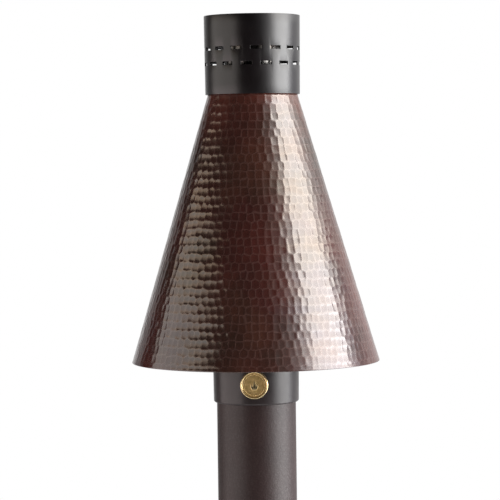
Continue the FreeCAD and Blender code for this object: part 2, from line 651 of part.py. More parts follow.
def neck_ring():
    """Fills the space between the wind guard and the cone's neck, and takes the neck screws."""
    low = GUARD_FOOT + NECK_RING_START
    high = low + NECK_RING_HEIGHT
    ring = turned((cone_outside(low) + NECK_CLEARANCE, low), (guard_outside(low) - GUARD_WALL, low),
                  (guard_outside(high) - GUARD_WALL, high), (cone_outside(high) + NECK_CLEARANCE, high))
    return ring.cut(ring_of(neck_screw_hole, NECK_SCREW_COUNT, NECK_SCREW_AZIMUTH, NECK_SCREW_HEIGHT))


def neck_screw():
    """A pan-head screw driven outwards from inside the cone's neck."""
    seat = cone_inside(NECK_SCREW_HEIGHT + NECK_SCREW_HEAD_RADIUS)
    crown = seat - NECK_SCREW_HEAD
    wide = NECK_SCREW_HEAD_RADIUS
    shoulder = NECK_SCREW_HEAD / 2.0
    round_off = (wide - shoulder * (1.0 - math.sqrt(0.5)), seat - shoulder * (1.0 + math.sqrt(0.5)))
    head = turned((0, crown), (wide - shoulder, crown), (round_off, (wide, seat - shoulder)),
                  (wide, seat), (0, seat))
    across, blade = 0.6 * wide, NECK_SCREW_BLADE / 2.0
    for x, y in ((across, blade), (blade, across)):
        head = head.cut(Part.makeBox(2 * x, 2 * y, NECK_SCREW_RECESS, Vector(-x, -y, crown)))
    return head.fuse(rod(NECK_SCREW_RADIUS, seat, neck_screw_tip())).removeSplitter()


def neck_screws():
    return Part.makeCompound(ring_of(neck_screw, NECK_SCREW_COUNT, NECK_SCREW_AZIMUTH, NECK_SCREW_HEIGHT))


SUB_PARTS = (
    base_flange, base_screws, base_cover, post,
    inlet_fitting, flare_nuts, gas_tube, supply_union, deck_nipple, deck_locknuts,
    fitter, medallion, fitter_screws,
    valve_body, valve_cap, valve_seats, valve_ball, valve_stem, packing_nut, valve_lever, lever_grip,
    lever_nut,
    riser_pipe, shade_carrier, carrier_locknuts, burner_can, burner_cap, gas_jet,
    cone_shade, wind_guard, neck_ring, neck_screws,
)


def main():
    os.makedirs("parts", exist_ok=True)
    for make in SUB_PARTS:
        make().exportStep(os.path.join("parts", make.__name__ + ".step"))


main()
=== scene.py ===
"""Looks of the gas tiki torch: hammered copper shade, slotted wind guard, coated post, brass and steel."""
import math
import random

import bmesh
import bpy
import numpy as np
from mathutils import Matrix, Vector


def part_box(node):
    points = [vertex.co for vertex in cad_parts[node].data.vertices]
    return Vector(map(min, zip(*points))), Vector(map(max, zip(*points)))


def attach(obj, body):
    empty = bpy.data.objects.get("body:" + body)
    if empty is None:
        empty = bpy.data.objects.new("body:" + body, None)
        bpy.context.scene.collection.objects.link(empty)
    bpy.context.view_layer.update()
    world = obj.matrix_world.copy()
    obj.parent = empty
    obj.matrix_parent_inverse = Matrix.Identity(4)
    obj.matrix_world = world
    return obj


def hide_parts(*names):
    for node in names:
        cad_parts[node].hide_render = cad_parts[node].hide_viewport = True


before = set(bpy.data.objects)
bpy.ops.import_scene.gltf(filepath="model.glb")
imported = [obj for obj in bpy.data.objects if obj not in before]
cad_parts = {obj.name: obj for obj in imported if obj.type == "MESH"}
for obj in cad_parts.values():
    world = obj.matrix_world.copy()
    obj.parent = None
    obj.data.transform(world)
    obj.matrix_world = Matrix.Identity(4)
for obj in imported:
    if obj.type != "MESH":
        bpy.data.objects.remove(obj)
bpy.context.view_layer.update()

MM = 0.001
TURN = 2 * math.pi


def span(node):
    """A node's lowest and highest height, and its radius about the post's axis."""
    low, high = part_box(node)
    return low[2], high[2], max(high[0], -low[0])


# ---- sizes taken from the CAD parts ----
CONE_FOOT, NECK_TOP, CONE_RADIUS = span("cone_shade")
GUARD_FOOT, GUARD_TOP, GUARD_TOP_RADIUS = span("wind_guard")
FITTER_FOOT, DECK_TOP = span("fitter")[:2]
POST_FOOT, POST_TOP, POST_RADIUS = span("post")
COVER_TOP, COVER_RADIUS = span("base_cover")[1:]
FLANGE_RADIUS = span("base_flange")[2]
BALL_FOOT, BALL_TOP, BALL_RADIUS = span("valve_ball")
BALL_HEIGHT = (BALL_FOOT + BALL_TOP) / 2

# ---- sizes of this object's sheet, castings and fittings ----
CONE_MOUTH = 43.2 * MM
CONE_WALL = 1.0 * MM
CONE_SLOPE = (CONE_RADIUS - CONE_MOUTH) / (GUARD_FOOT - CONE_FOOT)
GUARD_WALL = 1.5 * MM
GUARD_FLARE = 0.7 * MM
GUARD_RADIUS = GUARD_TOP_RADIUS - GUARD_FLARE
SLOT_COUNT = 15
SLOT_LENGTH = 10.8 * MM
SLOT_HEIGHT = 3.2 * MM
SLOT_LOW, SLOT_HIGH = 29.0 * MM, 43.4 * MM
SLOT_PHASE = math.radians(7.4)
FITTER_SLOPE = math.tan(math.radians(0.6))
FITTER_RADIUS = 41.05 * MM
MEDALLION_HEIGHT = FITTER_FOOT + 20.0 * MM
SOCKET_BORE = 38.6 * MM
PIPE_RADIUS = 8.55 * MM
PIPE_BORE = 6.25 * MM
TUBE_RADIUS = 6.35 * MM
TUBE_BORE = 5.45 * MM
FLARE_RADIUS = 8.0 * MM
ENGAGEMENT = 12.0 * MM
NUT_FLATS = 24.0 * MM
STEM_RADIUS = 4.2 * MM
STEM_SQUARE = 2.62 * MM
LEVER_BACK, LEVER_FRONT = 28.5 * MM, 31.5 * MM


# ---- mesh tools ----
def turned(profile, steps=96, closed=True):
    """A profile of (radius, height) points spun about the Z axis. A closed profile is a ring's section."""
    bm = bmesh.new()
    verts = [bm.verts.new((r, 0, z)) for r, z in profile]
    ends = verts[1:] + verts[:1] if closed else verts[1:]
    edges = [bm.edges.new(pair) for pair in zip(verts, ends)]
    bmesh.ops.spin(bm, geom=verts + edges, cent=(0, 0, 0), axis=(0, 0, 1), angle=TURN, steps=steps,
                   use_merge=True)
    return tidied(bm)


def tidied(bm):
    """Merges doubles and turns every face outwards."""
    bmesh.ops.remove_doubles(bm, verts=bm.verts, dist=1e-6)
    bmesh.ops.dissolve_degenerate(bm, edges=bm.edges, dist=1e-7)
    bmesh.ops.recalc_face_normals(bm, faces=bm.faces)
    return bm


def arc(cx, cz, radius, start, end, count):
    """Points of a profile along an arc, from one angle to another in degrees."""
    angles = [math.radians(start + (end - start) * k / count) for k in range(count + 1)]
    return [(cx + radius * math.cos(a), cz + radius * math.sin(a)) for a in angles]


def soften(bm, width, segments=2, limit=30):
    """Bevels every edge that is sharper than a limit in degrees."""
    sharp = [e for e in bm.edges if len(e.link_faces) == 2 and e.calc_face_angle(0) > math.radians(limit)]
    bmesh.ops.bevel(bm, geom=sharp, offset=width, offset_type="OFFSET", segments=segments, profile=0.5,
                    affect="EDGES", clamp_overlap=True, material=-1)
    return bm


def verts_of(made):
    """The vertices among what an operator made."""
    return [g for g in made if isinstance(g, bmesh.types.BMVert)]


def edges_of(made):
    """The edges among what an operator made."""
    return [g for g in made if isinstance(g, bmesh.types.BMEdge)]


def pins(radius, depth, segments, circle, count, first, height):
    """Upright pins on a circle about the post's axis, to cut holes. The first is turned by a share of a step."""
    made = []
    for k in range(count):
        pin = bmesh.new()
        turn = TURN * (k + first) / count
        bmesh.ops.create_cone(pin, cap_ends=True, segments=segments, radius1=radius, radius2=radius,
            depth=depth)
        spot = (circle * math.cos(turn), circle * math.sin(turn), height)
        bmesh.ops.translate(pin, vec=spot, verts=pin.verts)
        made.append(pin)
    return made


def box_mesh(size, centre):
    """A block of a given size about a centre."""
    bm = bmesh.new()
    bmesh.ops.create_cube(bm, size=1.0)
    bmesh.ops.scale(bm, vec=size, verts=bm.verts)
    bmesh.ops.translate(bm, vec=centre, verts=bm.verts)
    return bm


def joined(*parts):
    """One bmesh that holds all the given ones."""
    whole = bmesh.new()
    for part in parts:
        mesh = bpy.data.meshes.new("part")
        part.to_mesh(mesh)
        part.free()
        whole.from_mesh(mesh)
        bpy.data.meshes.remove(mesh)
    return whole


def moved(bm, matrix):
    """Turns or shifts a bmesh by a matrix."""
    bmesh.ops.transform(bm, matrix=matrix, verts=bm.verts)
    return bm


def combined(bm, tool, how):
    """A Boolean of two closed shells: DIFFERENCE, UNION or INTERSECT."""
    pair = []
    for part in (bm, tool):
        mesh = bpy.data.meshes.new("part")
        part.to_mesh(mesh)
        part.free()
        ob = bpy.data.objects.new("part", mesh)
        bpy.context.scene.collection.objects.link(ob)
        pair.append(ob)
    cut = pair[0].modifiers.new("cut", "BOOLEAN")
    cut.operation = how
    cut.solver = "EXACT"
    cut.object = pair[1]
    bpy.context.view_layer.update()
    done = bpy.data.meshes.new_from_object(pair[0].evaluated_get(bpy.context.evaluated_depsgraph_get()))
    out = bmesh.new()
    out.from_mesh(done)
    for ob in pair:
        mesh = ob.data
        bpy.data.objects.remove(ob)
        bpy.data.meshes.remove(mesh)
    bpy.data.meshes.remove(done)
    return tidied(out)


def to_front(z):
    """The matrix that lays the Z axis along -Y, the way out at the front, at a height."""
    return Matrix.Translation((0, 0, z)) @ Matrix.Rotation(math.pi / 2, 4, "X")


def to_azimuth(z, degrees):
    """The same, at an azimuth from the front towards +X."""
    return Matrix.Rotation(math.radians(degrees), 4, "Z") @ to_front(z)


def finished(name, bm, look, body, *nodes, limit=35):
    """Makes a piece of a bmesh. It rides on a body and stands for the CAD nodes named."""
    for face in bm.faces:
        face.smooth = True
    for edge in bm.edges:
        if len(edge.link_faces) == 2:
            edge.smooth = edge.calc_face_angle(0) < math.radians(limit)
    mesh = bpy.data.meshes.new(name)
    bm.to_mesh(mesh)
    bm.free()
    mesh.materials.append(look)
    piece = bpy.data.objects.new(name, mesh)
    bpy.context.scene.collection.objects.link(piece)
    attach(piece, body)
    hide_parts(*nodes)
    return piece


def arc_through(one, two, three, count):
    """Points along the arc from the first point through the second to the third."""
    (ax, ay), (bx, by), (cx, cy) = one, two, three
    twice = 2 * (ax * (by - cy) + bx * (cy - ay) + cx * (ay - by))
    a2, b2, c2 = ax * ax + ay * ay, bx * bx + by * by, cx * cx + cy * cy
    x = (a2 * (by - cy) + b2 * (cy - ay) + c2 * (ay - by)) / twice
    y = (a2 * (cx - bx) + b2 * (ax - cx) + c2 * (bx - ax)) / twice
    start, end = math.degrees(math.atan2(ay - y, ax - x)), math.degrees(math.atan2(cy - y, cx - x))
    return arc(x, y, math.hypot(ax - x, ay - y), start, end, count)


def thread(radius, low, high, pitch=1.4 * MM, depth=0.55 * MM):
    """Points of a profile along a thread, from its low end to its high end."""
    turns = max(round((high - low) / pitch), 1)
    step = (high - low) / turns
    points = [(radius - depth, low)]
    for k in range(turns):
        points += [(radius, low + (k + 0.5) * step), (radius - depth, low + (k + 1) * step)]
    return points


def six_flats(bm, flats, ends=None):
    """Presses the turned points that lie on a hexagon's corner circle in to its flats. A nut's ends keep
    their turned chamfer, so a point that moves in also moves towards its end."""
    corner = flats / math.sqrt(3)
    chamfer = (corner - flats / 2) * 0.9
    land = flats / 2 * 0.96
    for vert in bm.verts:
        radius = math.hypot(vert.co.x, vert.co.y)
        if abs(radius - corner) > 1e-6:
            continue
        flat = flats / 2 / math.cos(math.atan2(vert.co.y, vert.co.x) % (math.pi / 3) - math.pi / 6)
        vert.co.xy *= flat / radius
        if ends:
            drop = chamfer * (corner - flat) / (corner - land)
            vert.co.z += -drop if vert.co.z < sum(ends) / 2 else drop
    return bm


def nut_side(flats, low, high):
    """The outer points of a nut's section."""
    corner = flats / math.sqrt(3)
    chamfer = (corner - flats / 2) * 0.9
    return [(flats / 2 * 0.96, low), (corner, low + chamfer), (corner, high - chamfer),
        (flats / 2 * 0.96, high)]


def nut(flats, bore, low, high):
    """A hexagon nut with turned ends."""
    bm = turned([(bore, low)] + nut_side(flats, low, high) + [(bore, high)], 48)
    return tidied(soften(six_flats(bm, flats, (low, high)), 0.2 * MM))


def ring_of(make, count, first, z):
    """Copies of a mesh that leave the post at height z, evenly spaced from the first azimuth."""
    return joined(*[moved(make(), to_azimuth(z, first + 360 * k / count)) for k in range(count)])


def pipe(low, high, near, far):
    """A pipe with a thread at each end, of the given lengths."""
    side = thread(PIPE_RADIUS, low, low + near) + thread(PIPE_RADIUS, high - far, high)
    return turned(side + [(PIPE_BORE, high), (PIPE_BORE, low)], 64)


# ---- material tools ----
def add(tree, kind, sockets=None, **settings):
    """Adds a node. A socket is given a value, or the output to link to it."""
    made = tree.nodes.new("ShaderNode" + kind)
    for key, value in settings.items():
        setattr(made, key, value)
    for key, value in (sockets or {}).items():
        if isinstance(value, bpy.types.NodeSocket):
            tree.links.new(value, made.inputs[key])
        else:
            made.inputs[key].default_value = value
    return made


def surface(name, **fixed):
    """A new material named for a finish. Underscores in the names of fixed sockets are spaces."""
    look = bpy.data.materials.new(name + "_finish")
    look.use_nodes = True
    tree = look.node_tree
    shader = tree.nodes["Principled BSDF"]
    for key, value in fixed.items():
        shader.inputs[key.replace("_", " ")].default_value = value
    return look, tree, shader


def place(tree, scale=(1, 1, 1)):
    """Object coordinates, in metres, stretched by a scale."""
    coordinates = add(tree, "TexCoord").outputs["Object"]
    return add(tree, "Mapping", {"Vector": coordinates, "Scale": scale}).outputs["Vector"]


def noise(tree, where, scale, detail=4.0, rough=0.55):
    """A fractal noise from 0 to 1."""
    return add(tree, "TexNoise", {"Vector": where, "Scale": scale, "Detail": detail,
        "Roughness": rough}).outputs["Fac"]


def ramp(tree, value, *stops):
    """A colour ramp with (position, colour) stops, where a colour may be one number."""
    made = add(tree, "ValToRGB", {"Fac": value})
    points = made.color_ramp.elements
    while len(points) < len(stops):
        points.new(0.5)
    for point, (position, colour) in zip(points, stops):
        point.position = position
        point.color = (colour, colour, colour, 1) if isinstance(colour, (int, float)) else (*colour, 1)
    return made.outputs["Color"]


def mix(tree, factor, one, two, how="MIX"):
    """Mixes two colours."""
    made = add(tree, "Mix", data_type="RGBA", blend_type=how)
    for key, value in ((0, factor), (6, one), (7, two)):
        if isinstance(value, bpy.types.NodeSocket):
            tree.links.new(value, made.inputs[key])
        elif key:
            made.inputs[key].default_value = (*value, 1)
        else:
            made.inputs[key].default_value = value
    return made.outputs[2]


def bump(tree, shader, height, depth, strength=1.0, under=None):
    """Adds a bump of a depth in metres, over another one if given."""
    sockets = {"Height": height, "Distance": depth, "Strength": strength}
    if under:
        sockets["Normal"] = under
    normal = add(tree, "Bump", sockets).outputs["Normal"]
    tree.links.new(normal, shader.inputs["Normal"])
    return normal


def feed(tree, value, shader, socket):
    """Links a value to one of the shader's sockets."""
    tree.links.new(value, shader.inputs[socket])


# ---- materials ----
def hammered_copper():
    """Dark, oiled copper: brown and oxblood patina in patches, paler on the ridges between the marks, partly
    rubbed copper and partly a painted highlight, with painted shade dimming the reflection in the hollows of the
    marks.
    """
    look, tree, shader = surface("hammered_copper", Metallic=0.0, IOR=1.95)
    where = place(tree)
    ridge = add(tree, "Attribute", attribute_name="ridge", attribute_type="GEOMETRY").outputs["Fac"]
    cloud = noise(tree, where, 22.0, 4.0, 0.6)
    patch = noise(tree, place(tree, (1, 1, 0.6)), 13.0, 2.0, 0.5)
    base = ramp(tree, cloud, (0.34, (0.024, 0.011, 0.0075)), (0.5, (0.044, 0.0118, 0.0095)),
        (0.66, (0.075, 0.02, 0.014)))
    tint = ramp(tree, patch, (0.36, (0.028, 0.018, 0.011)), (0.5, (0.046, 0.0125, 0.0105)),
        (0.64, (0.07, 0.0145, 0.0115)))
    colour = mix(tree, 0.45, base, tint)
    # Paler colour on the ridges: partly rubbed copper, partly a painted highlight.
    colour = mix(tree, ramp(tree, ridge, (0.2, 0.0), (0.95, 0.5)), colour, (0.115, 0.062, 0.055))
    film = noise(tree, place(tree, (0.7, 0.7, 1.3)), 30.0, 3.0, 0.6)
    sheen = ramp(tree, film, (0.3, (0.86, 0.9, 0.96)), (0.42, (0.95, 0.94, 0.95)), (0.52, (1.0, 0.94, 0.87)),
                 (0.62, (1.0, 0.86, 0.74)), (0.72, (0.95, 0.98, 0.86)))
    level = add(tree, "SeparateXYZ", {"Vector": where}).outputs["Z"]
    up = add(tree, "MapRange", {"Value": level, "From Min": CONE_FOOT,
        "From Max": NECK_TOP}).outputs["Result"]
    by_height = ramp(tree, up, (0.02, (0.95, 0.97, 1.0)), (0.25, (0.97, 0.95, 0.93)),
        (0.42, (1.0, 0.93, 0.8)), (0.75, (1.0, 0.94, 0.84)),
                     (0.97, (1.0, 0.97, 0.94)))
    sheen = mix(tree, 0.55, sheen, by_height)
    bare = mix(tree, ramp(tree, up, (0.74, 0.0), (1.0, 0.7)), (0, 0, 0),
        ramp(tree, cloud, (0.35, 0.25), (0.6, 1.0)))
    colour = mix(tree, bare, colour, (0.14, 0.036, 0.022))
    feed(tree, colour, shader, "Base Color")
    # Painted shade: the reflection is dimmed on the floors of the hammer marks and left full on the ridges.
    painted_hollow_shade = ramp(tree, ridge, (0.0, (0.86, 0.86, 0.87)), (0.7, (1.0, 1.0, 1.0)))
    feed(tree, mix(tree, 1.0, sheen, painted_hollow_shade, "MULTIPLY"), shader, "Specular Tint")
    speck = noise(tree, where, 900.0, 3.0, 0.6)
    rough = ramp(tree, noise(tree, where, 60.0, 4.0), (0.35, 0.12), (0.7, 0.19))
    feed(tree, rough, shader, "Roughness")
    bump(tree, shader, speck, 0.00003, 0.5)
    return look


def satin_black():
    """Baked enamel with a very fine orange peel."""
    look, tree, shader = surface("black_coat", Metallic=0.0, Coat_Weight=0.35, Coat_Roughness=0.3)
    where = place(tree)
    colour = ramp(tree, noise(tree, where, 40.0), (0.35, (0.0024, 0.0009, 0.0014)),
        (0.7, (0.0042, 0.0018, 0.0024)))
    feed(tree, colour, shader, "Base Color")
    feed(tree, ramp(tree, noise(tree, where, 90.0), (0.3, 0.3), (0.7, 0.36)), shader, "Roughness")
    bump(tree, shader, noise(tree, where, 1400.0, 2.0), 0.00002, 0.5)
    return look


def bronze_enamel():
    """Satin dark bronze-grey enamel over a cast surface."""
    look, tree, shader = surface("bronze_coat", Metallic=0.0)
    where = place(tree)
    colour = ramp(tree, noise(tree, where, 50.0), (0.35, (0.021, 0.0155, 0.0165)),
        (0.7, (0.03, 0.0225, 0.023)))
    feed(tree, colour, shader, "Base Color")
    feed(tree, ramp(tree, noise(tree, where, 120.0), (0.3, 0.28), (0.7, 0.36)), shader, "Roughness")
    bump(tree, shader, noise(tree, where, 700.0, 3.0), 0.00003, 0.5)
    return look


def powder_coat(name="post_coat", grain=0.00011, size=620.0):
    """Finely textured dark brown powder coat: small rounded grains that catch the light."""
    look, tree, shader = surface(name, Metallic=0.0)
    where = place(tree)
    grains = noise(tree, where, size, 4.0, 0.6)
    cloud = noise(tree, where, 30.0)
    colour = ramp(tree, cloud, (0.35, (0.0185, 0.0072, 0.0069)), (0.7, (0.0265, 0.011, 0.0105)))
    colour = mix(tree, ramp(tree, grains, (0.5, 0.0), (0.72, 0.4)), colour, (0.06, 0.045, 0.042))
    feed(tree, colour, shader, "Base Color")
    feed(tree, ramp(tree, grains, (0.3, 0.54), (0.7, 0.4)), shader, "Roughness")
    lumps = noise(tree, where, size / 2.6, 3.0, 0.6)
    bump(tree, shader, mix(tree, 0.6, grains, lumps), 2.6 * grain, 1.0)
    return look


def metal(name, low, high, rough, streaks=(1, 1, 1), scale=300.0, grain=0.00002, dark=(0.03, 0.02, 0.012),
    dirt=0.35):
    """A bare metal: a colour that drifts between two, tool marks along the streaks, dirt in patches."""
    look, tree, shader = surface(name, Metallic=1.0)
    where = place(tree)
    colour = ramp(tree, noise(tree, where, 70.0), (0.35, low), (0.68, high))
    stain = ramp(tree, noise(tree, where, 160.0, 6.0, 0.65), (0.56, 0.0), (0.74, dirt))
    feed(tree, mix(tree, stain, colour, dark), shader, "Base Color")
    marks = noise(tree, place(tree, streaks), scale, 3.0, 0.5)
    feed(tree, ramp(tree, marks, (0.3, rough * 0.8), (0.7, rough * 1.3)), shader, "Roughness")
    bump(tree, shader, marks, grain, 0.6)
    return look


def medallion_brass():
    """Cast brass: bright where the relief stands up, brown where it lies low."""
    look, tree, shader = surface("medallion_brass", Metallic=1.0)
    where = place(tree)
    relief = add(tree, "Attribute", attribute_name="relief", attribute_type="GEOMETRY").outputs["Fac"]
    field = ramp(tree, noise(tree, where, 380.0, 5.0, 0.6), (0.35, (0.6, 0.41, 0.16)),
        (0.7, (0.85, 0.62, 0.28)))
    colour = mix(tree, ramp(tree, relief, (0.15, 0.0), (0.9, 1.0)), field, (0.95, 0.76, 0.42))
    feed(tree, colour, shader, "Base Color")
    feed(tree, ramp(tree, relief, (0.1, 0.52), (0.9, 0.26)), shader, "Roughness")
    bump(tree, shader, noise(tree, where, 1500.0, 3.0), 0.00004, 0.6)
    return look


def stainless():
    """Rolled stainless steel, bright low down and darker higher up inside the guard as painted shade, with straw
    and blue heat tint along its top.
    """
    look, tree, shader = surface("burner_steel", Metallic=1.0)
    where = place(tree)
    height = add(tree, "SeparateXYZ", {"Vector": where}).outputs["Z"]
    low, high = span("burner_can")[:2]
    up = add(tree, "MapRange", {"Value": height, "From Min": low, "From Max": high}).outputs["Result"]
    # Painted shade: darker above the lower part, where the can stands inside the slotted guard; straw and blue
    # heat tint at the rim.
    shade_and_heat_tint = ramp(tree, up, (0.35, (0.42, 0.42, 0.41)), (0.6, (0.16, 0.155, 0.15)), (0.88, (0.13, 0.12, 0.11)),
        (0.95, (0.26, 0.19, 0.15)),
                (1.0, (0.16, 0.16, 0.21)))
    feed(tree, shade_and_heat_tint, shader, "Base Color")
    grain = noise(tree, place(tree, (1, 1, 0.02)), 900.0, 3.0)
    feed(tree, ramp(tree, grain, (0.3, 0.16), (0.7, 0.28)), shader, "Roughness")
    bump(tree, shader, grain, 0.00001, 0.4)
    return look


def vinyl(name, low, high, rough=0.45):
    """A soft or hard plastic with a faint mottle."""
    look, tree, shader = surface(name, Metallic=0.0)
    where = place(tree)
    feed(tree, ramp(tree, noise(tree, where, 200.0), (0.35, low), (0.7, high)), shader, "Base Color")
    feed(tree, ramp(tree, noise(tree, where, 320.0), (0.3, rough * 0.85), (0.7, rough * 1.15)), shader,
        "Roughness")
    bump(tree, shader, noise(tree, where, 1200.0, 3.0), 0.00003, 0.5)
    return look


COPPER = hammered_copper()
BLACK = satin_black()
BRONZE = bronze_enamel()
POWDER = powder_coat()
COATED_IRON = powder_coat("flange_iron", 0.00025, 420.0)
SEAL_BRASS = medallion_brass()
BRASS = metal("valve_brass", (0.55, 0.38, 0.14), (0.72, 0.53, 0.24), 0.26, (1, 1, 12), 260.0)
TUBE_COPPER = metal("copper_tube", (0.6, 0.29, 0.17), (0.76, 0.42, 0.28), 0.3, (1, 1, 0.03), 700.0)
ZINC = metal("zinc_steel", (0.42, 0.42, 0.4), (0.6, 0.6, 0.57), 0.32, (1, 1, 1), 240.0,
    dark=(0.1, 0.09, 0.08))
BLACK_STEEL = metal("black_steel", (0.03, 0.03, 0.032), (0.06, 0.06, 0.062), 0.38, (1, 1, 1), 400.0)
CHROME = metal("valve_chrome", (0.75, 0.75, 0.77), (0.8, 0.8, 0.82), 0.06, (1, 1, 1), 200.0, 0.000005,
    dirt=0.0)
STAINLESS = stainless()
GRIP = vinyl("grip_vinyl", (0.62, 0.36, 0.02), (0.74, 0.45, 0.03))
SEALS = vinyl("seal_white", (0.78, 0.78, 0.75), (0.86, 0.86, 0.84), 0.35)


# ---- the shade ----
MARK_WIDTH = 6.8 * MM
ROW_HEIGHT = 8.15 * MM
DENT = 0.36 * MM
LIP = 0.045 * MM
RIDGE_FALL = 0.3 * MM
MARGIN, MARGIN_FADE = 1.2 * MM, 1.6 * MM
FOOT_SHARE, FOOT_HEIGHT = 0.45, 34 * MM
SEAM_DEPTH, SEAM_WIDTH = 0.35 * MM, 0.7 * MM
CONE_MIDDLE = CONE_FOOT + 0.44 * (NECK_TOP - CONE_FOOT)
CONE_ROWS, CONE_COLUMNS = 138, 660
HALF_ANGLE = math.atan(CONE_SLOPE)
LEVEL_WALL = CONE_WALL / math.cos(HALF_ANGLE)


def cone_outside(z):
    """The cone's outer radius at height z."""
    return CONE_RADIUS - CONE_SLOPE * (z - CONE_FOOT)


def hammer_marks():
    """Rows of hammer blows up the slope. A row is its height along the slope, the angle where it starts and
    its blows. A blow is an angle, a shift along the slope, half a width, half a height and a depth."""
    dice = random.Random(41)
    rows = []
    slope_height = 1.1 * MM
    length = (NECK_TOP - CONE_FOOT) / math.cos(HALF_ANGLE)
    while slope_height < length + ROW_HEIGHT:
        radius = max(cone_outside(CONE_FOOT + slope_height * math.cos(HALF_ANGLE)), 30 * MM)
        count = round(TURN * radius / (MARK_WIDTH * dice.uniform(0.95, 1.05)))
        start = dice.uniform(0, TURN)
        blows = []
        for k in range(count):
            angle = start + (k + dice.gauss(0, 0.11)) * TURN / count
            rise = dice.gauss(0, 0.07) * ROW_HEIGHT
            half_width = MARK_WIDTH * 0.6 * dice.uniform(0.92, 1.1)
            half_height = ROW_HEIGHT * 0.6 * dice.uniform(0.94, 1.06)
            blows.append((angle, rise, half_width, half_height, DENT * dice.uniform(0.75, 1.15)))
        rows.append((slope_height, start, np.array(blows)))
        slope_height += ROW_HEIGHT * dice.uniform(0.96, 1.04)
    return rows


def dent_depths(slope_heights, angles, radii):
    """How deep the surface is beaten in at each point, by the deepest blow that reaches it, with soft lips in
    between, and how near the point is to such a lip, from 0 to 1."""
    rows = hammer_marks()
    heights = np.array([row[0] for row in rows])
    total = np.ones(len(angles))
    best = np.full(len(angles), -9.0)
    second = best.copy()
    nearest = np.searchsorted(heights, slope_heights)
    for step in (-2, -1, 0, 1):
        chosen = nearest + step
        for index, (height, start, blows) in enumerate(rows):
            here = np.nonzero(chosen == index)[0]
            if not len(here):
                continue
            count = len(blows)
            first = np.floor((angles[here] - start) / TURN * count).astype(int)
            for side in (-1, 0, 1, 2):
                blow = blows[(first + side) % count]
                across = np.mod(angles[here] - blow[:, 0] + math.pi, TURN) - math.pi
                along = slope_heights[here] - height - blow[:, 1]
                reach = np.abs(across * radii[here] / blow[:, 2]) ** 2.5 + np.abs(along / blow[:, 3]) ** 2.5
                depth = blow[:, 4] * (1 - np.minimum(reach, 4))
                total[here] += np.exp(depth / LIP)
                second[here] = np.maximum(second[here], np.minimum(best[here], depth))
                best[here] = np.maximum(best[here], depth)
    return np.log(total) * LIP, np.clip(1 - (best - second) / RIDGE_FALL, 0, 1)


def cone_shade():
    """The copper cone: a sheet beaten in by every blow, a plain margin at its edge and a seam at the back. It
    is meshed as two bands that meet in a ring of points."""
    cone_band("cone_foot_band", CONE_FOOT, CONE_MIDDLE)
    cone_band("cone_neck_band", CONE_MIDDLE, NECK_TOP)


def beaten_in(points):
    """Points of the plain cone, moved in by the hammer, and how near each one is to a ridge."""
    radii = np.hypot(points[:, 0], points[:, 1])
    angles = np.arctan2(points[:, 1], points[:, 0])
    outside = radii > cone_outside(points[:, 2]) - LEVEL_WALL / 2
    slope_heights = (points[:, 2] - CONE_FOOT) / math.cos(HALF_ANGLE)
    depths, ridge = dent_depths(slope_heights, angles, radii)
    depths *= np.clip((slope_heights - MARGIN) / MARGIN_FADE, 0, 1)
    depths *= FOOT_SHARE + (1 - FOOT_SHARE) * np.clip(slope_heights / FOOT_HEIGHT, 0, 1)
    from_seam = (angles - math.pi / 2) * radii
    depths += SEAM_DEPTH * np.exp(-(from_seam / SEAM_WIDTH) ** 2)
    inward = depths * outside * math.cos(HALF_ANGLE)
    beaten = points.copy()
    beaten[:, 0] -= np.cos(angles) * inward
    beaten[:, 1] -= np.sin(angles) * inward
    return beaten, np.where(outside, ridge, 0.3)


def true_normals(points):
    """Which way the beaten sheet faces at points on its outside, from four close neighbours of each."""
    step = 0.4 * MM
    angles = np.arctan2(points[:, 1], points[:, 0])
    across = np.stack([-np.sin(angles), np.cos(angles), np.zeros(len(angles))], 1)
    lean = math.tan(HALF_ANGLE)
    up = np.stack([-np.cos(angles) * lean, -np.sin(angles) * lean, np.ones(len(angles))], 1)
    ways = [beaten_in(points + way * step)[0] for way in (across, -across, up, -up)]
    faces = np.cross(ways[0] - ways[1], ways[2] - ways[3])
    return faces / np.linalg.norm(faces, axis=1)[:, None]


def cone_band(name, low, high):
    """One band of the cone, beaten in, with a smooth join where it meets the other."""
    outer = [(cone_outside(z), z) for z in np.linspace(low, min(high, GUARD_FOOT), CONE_ROWS + 1)]
    if high > GUARD_FOOT:
        outer += [(cone_outside(z), z) for z in np.linspace(GUARD_FOOT, high, 4)[1:]]
    inner = [(cone_outside(z) - LEVEL_WALL, z) for z in np.linspace(high, low, 3)]
    bm = turned(outer + inner, CONE_COLUMNS)
    piece = finished(name, bm, COPPER, "shade", "cone_shade")
    mesh = piece.data
    points = np.empty(len(mesh.vertices) * 3)
    mesh.vertices.foreach_get("co", points)
    points = points.reshape(-1, 3)
    beaten, ridge = beaten_in(points)
    shared = abs(points[:, 2] - CONE_MIDDLE) < 0.01 * MM
    shared &= np.hypot(points[:, 0], points[:, 1]) > cone_outside(CONE_MIDDLE) - LEVEL_WALL / 2
    mesh.vertices.foreach_set("co", beaten.ravel())
    attribute = mesh.attributes.new("ridge", "FLOAT", "POINT")
    attribute.data.foreach_set("value", ridge)
    mesh.update()
    normals = np.zeros((len(points), 3))
    normals[shared] = true_normals(points[shared])
    mesh.normals_split_custom_set_from_vertices(normals)


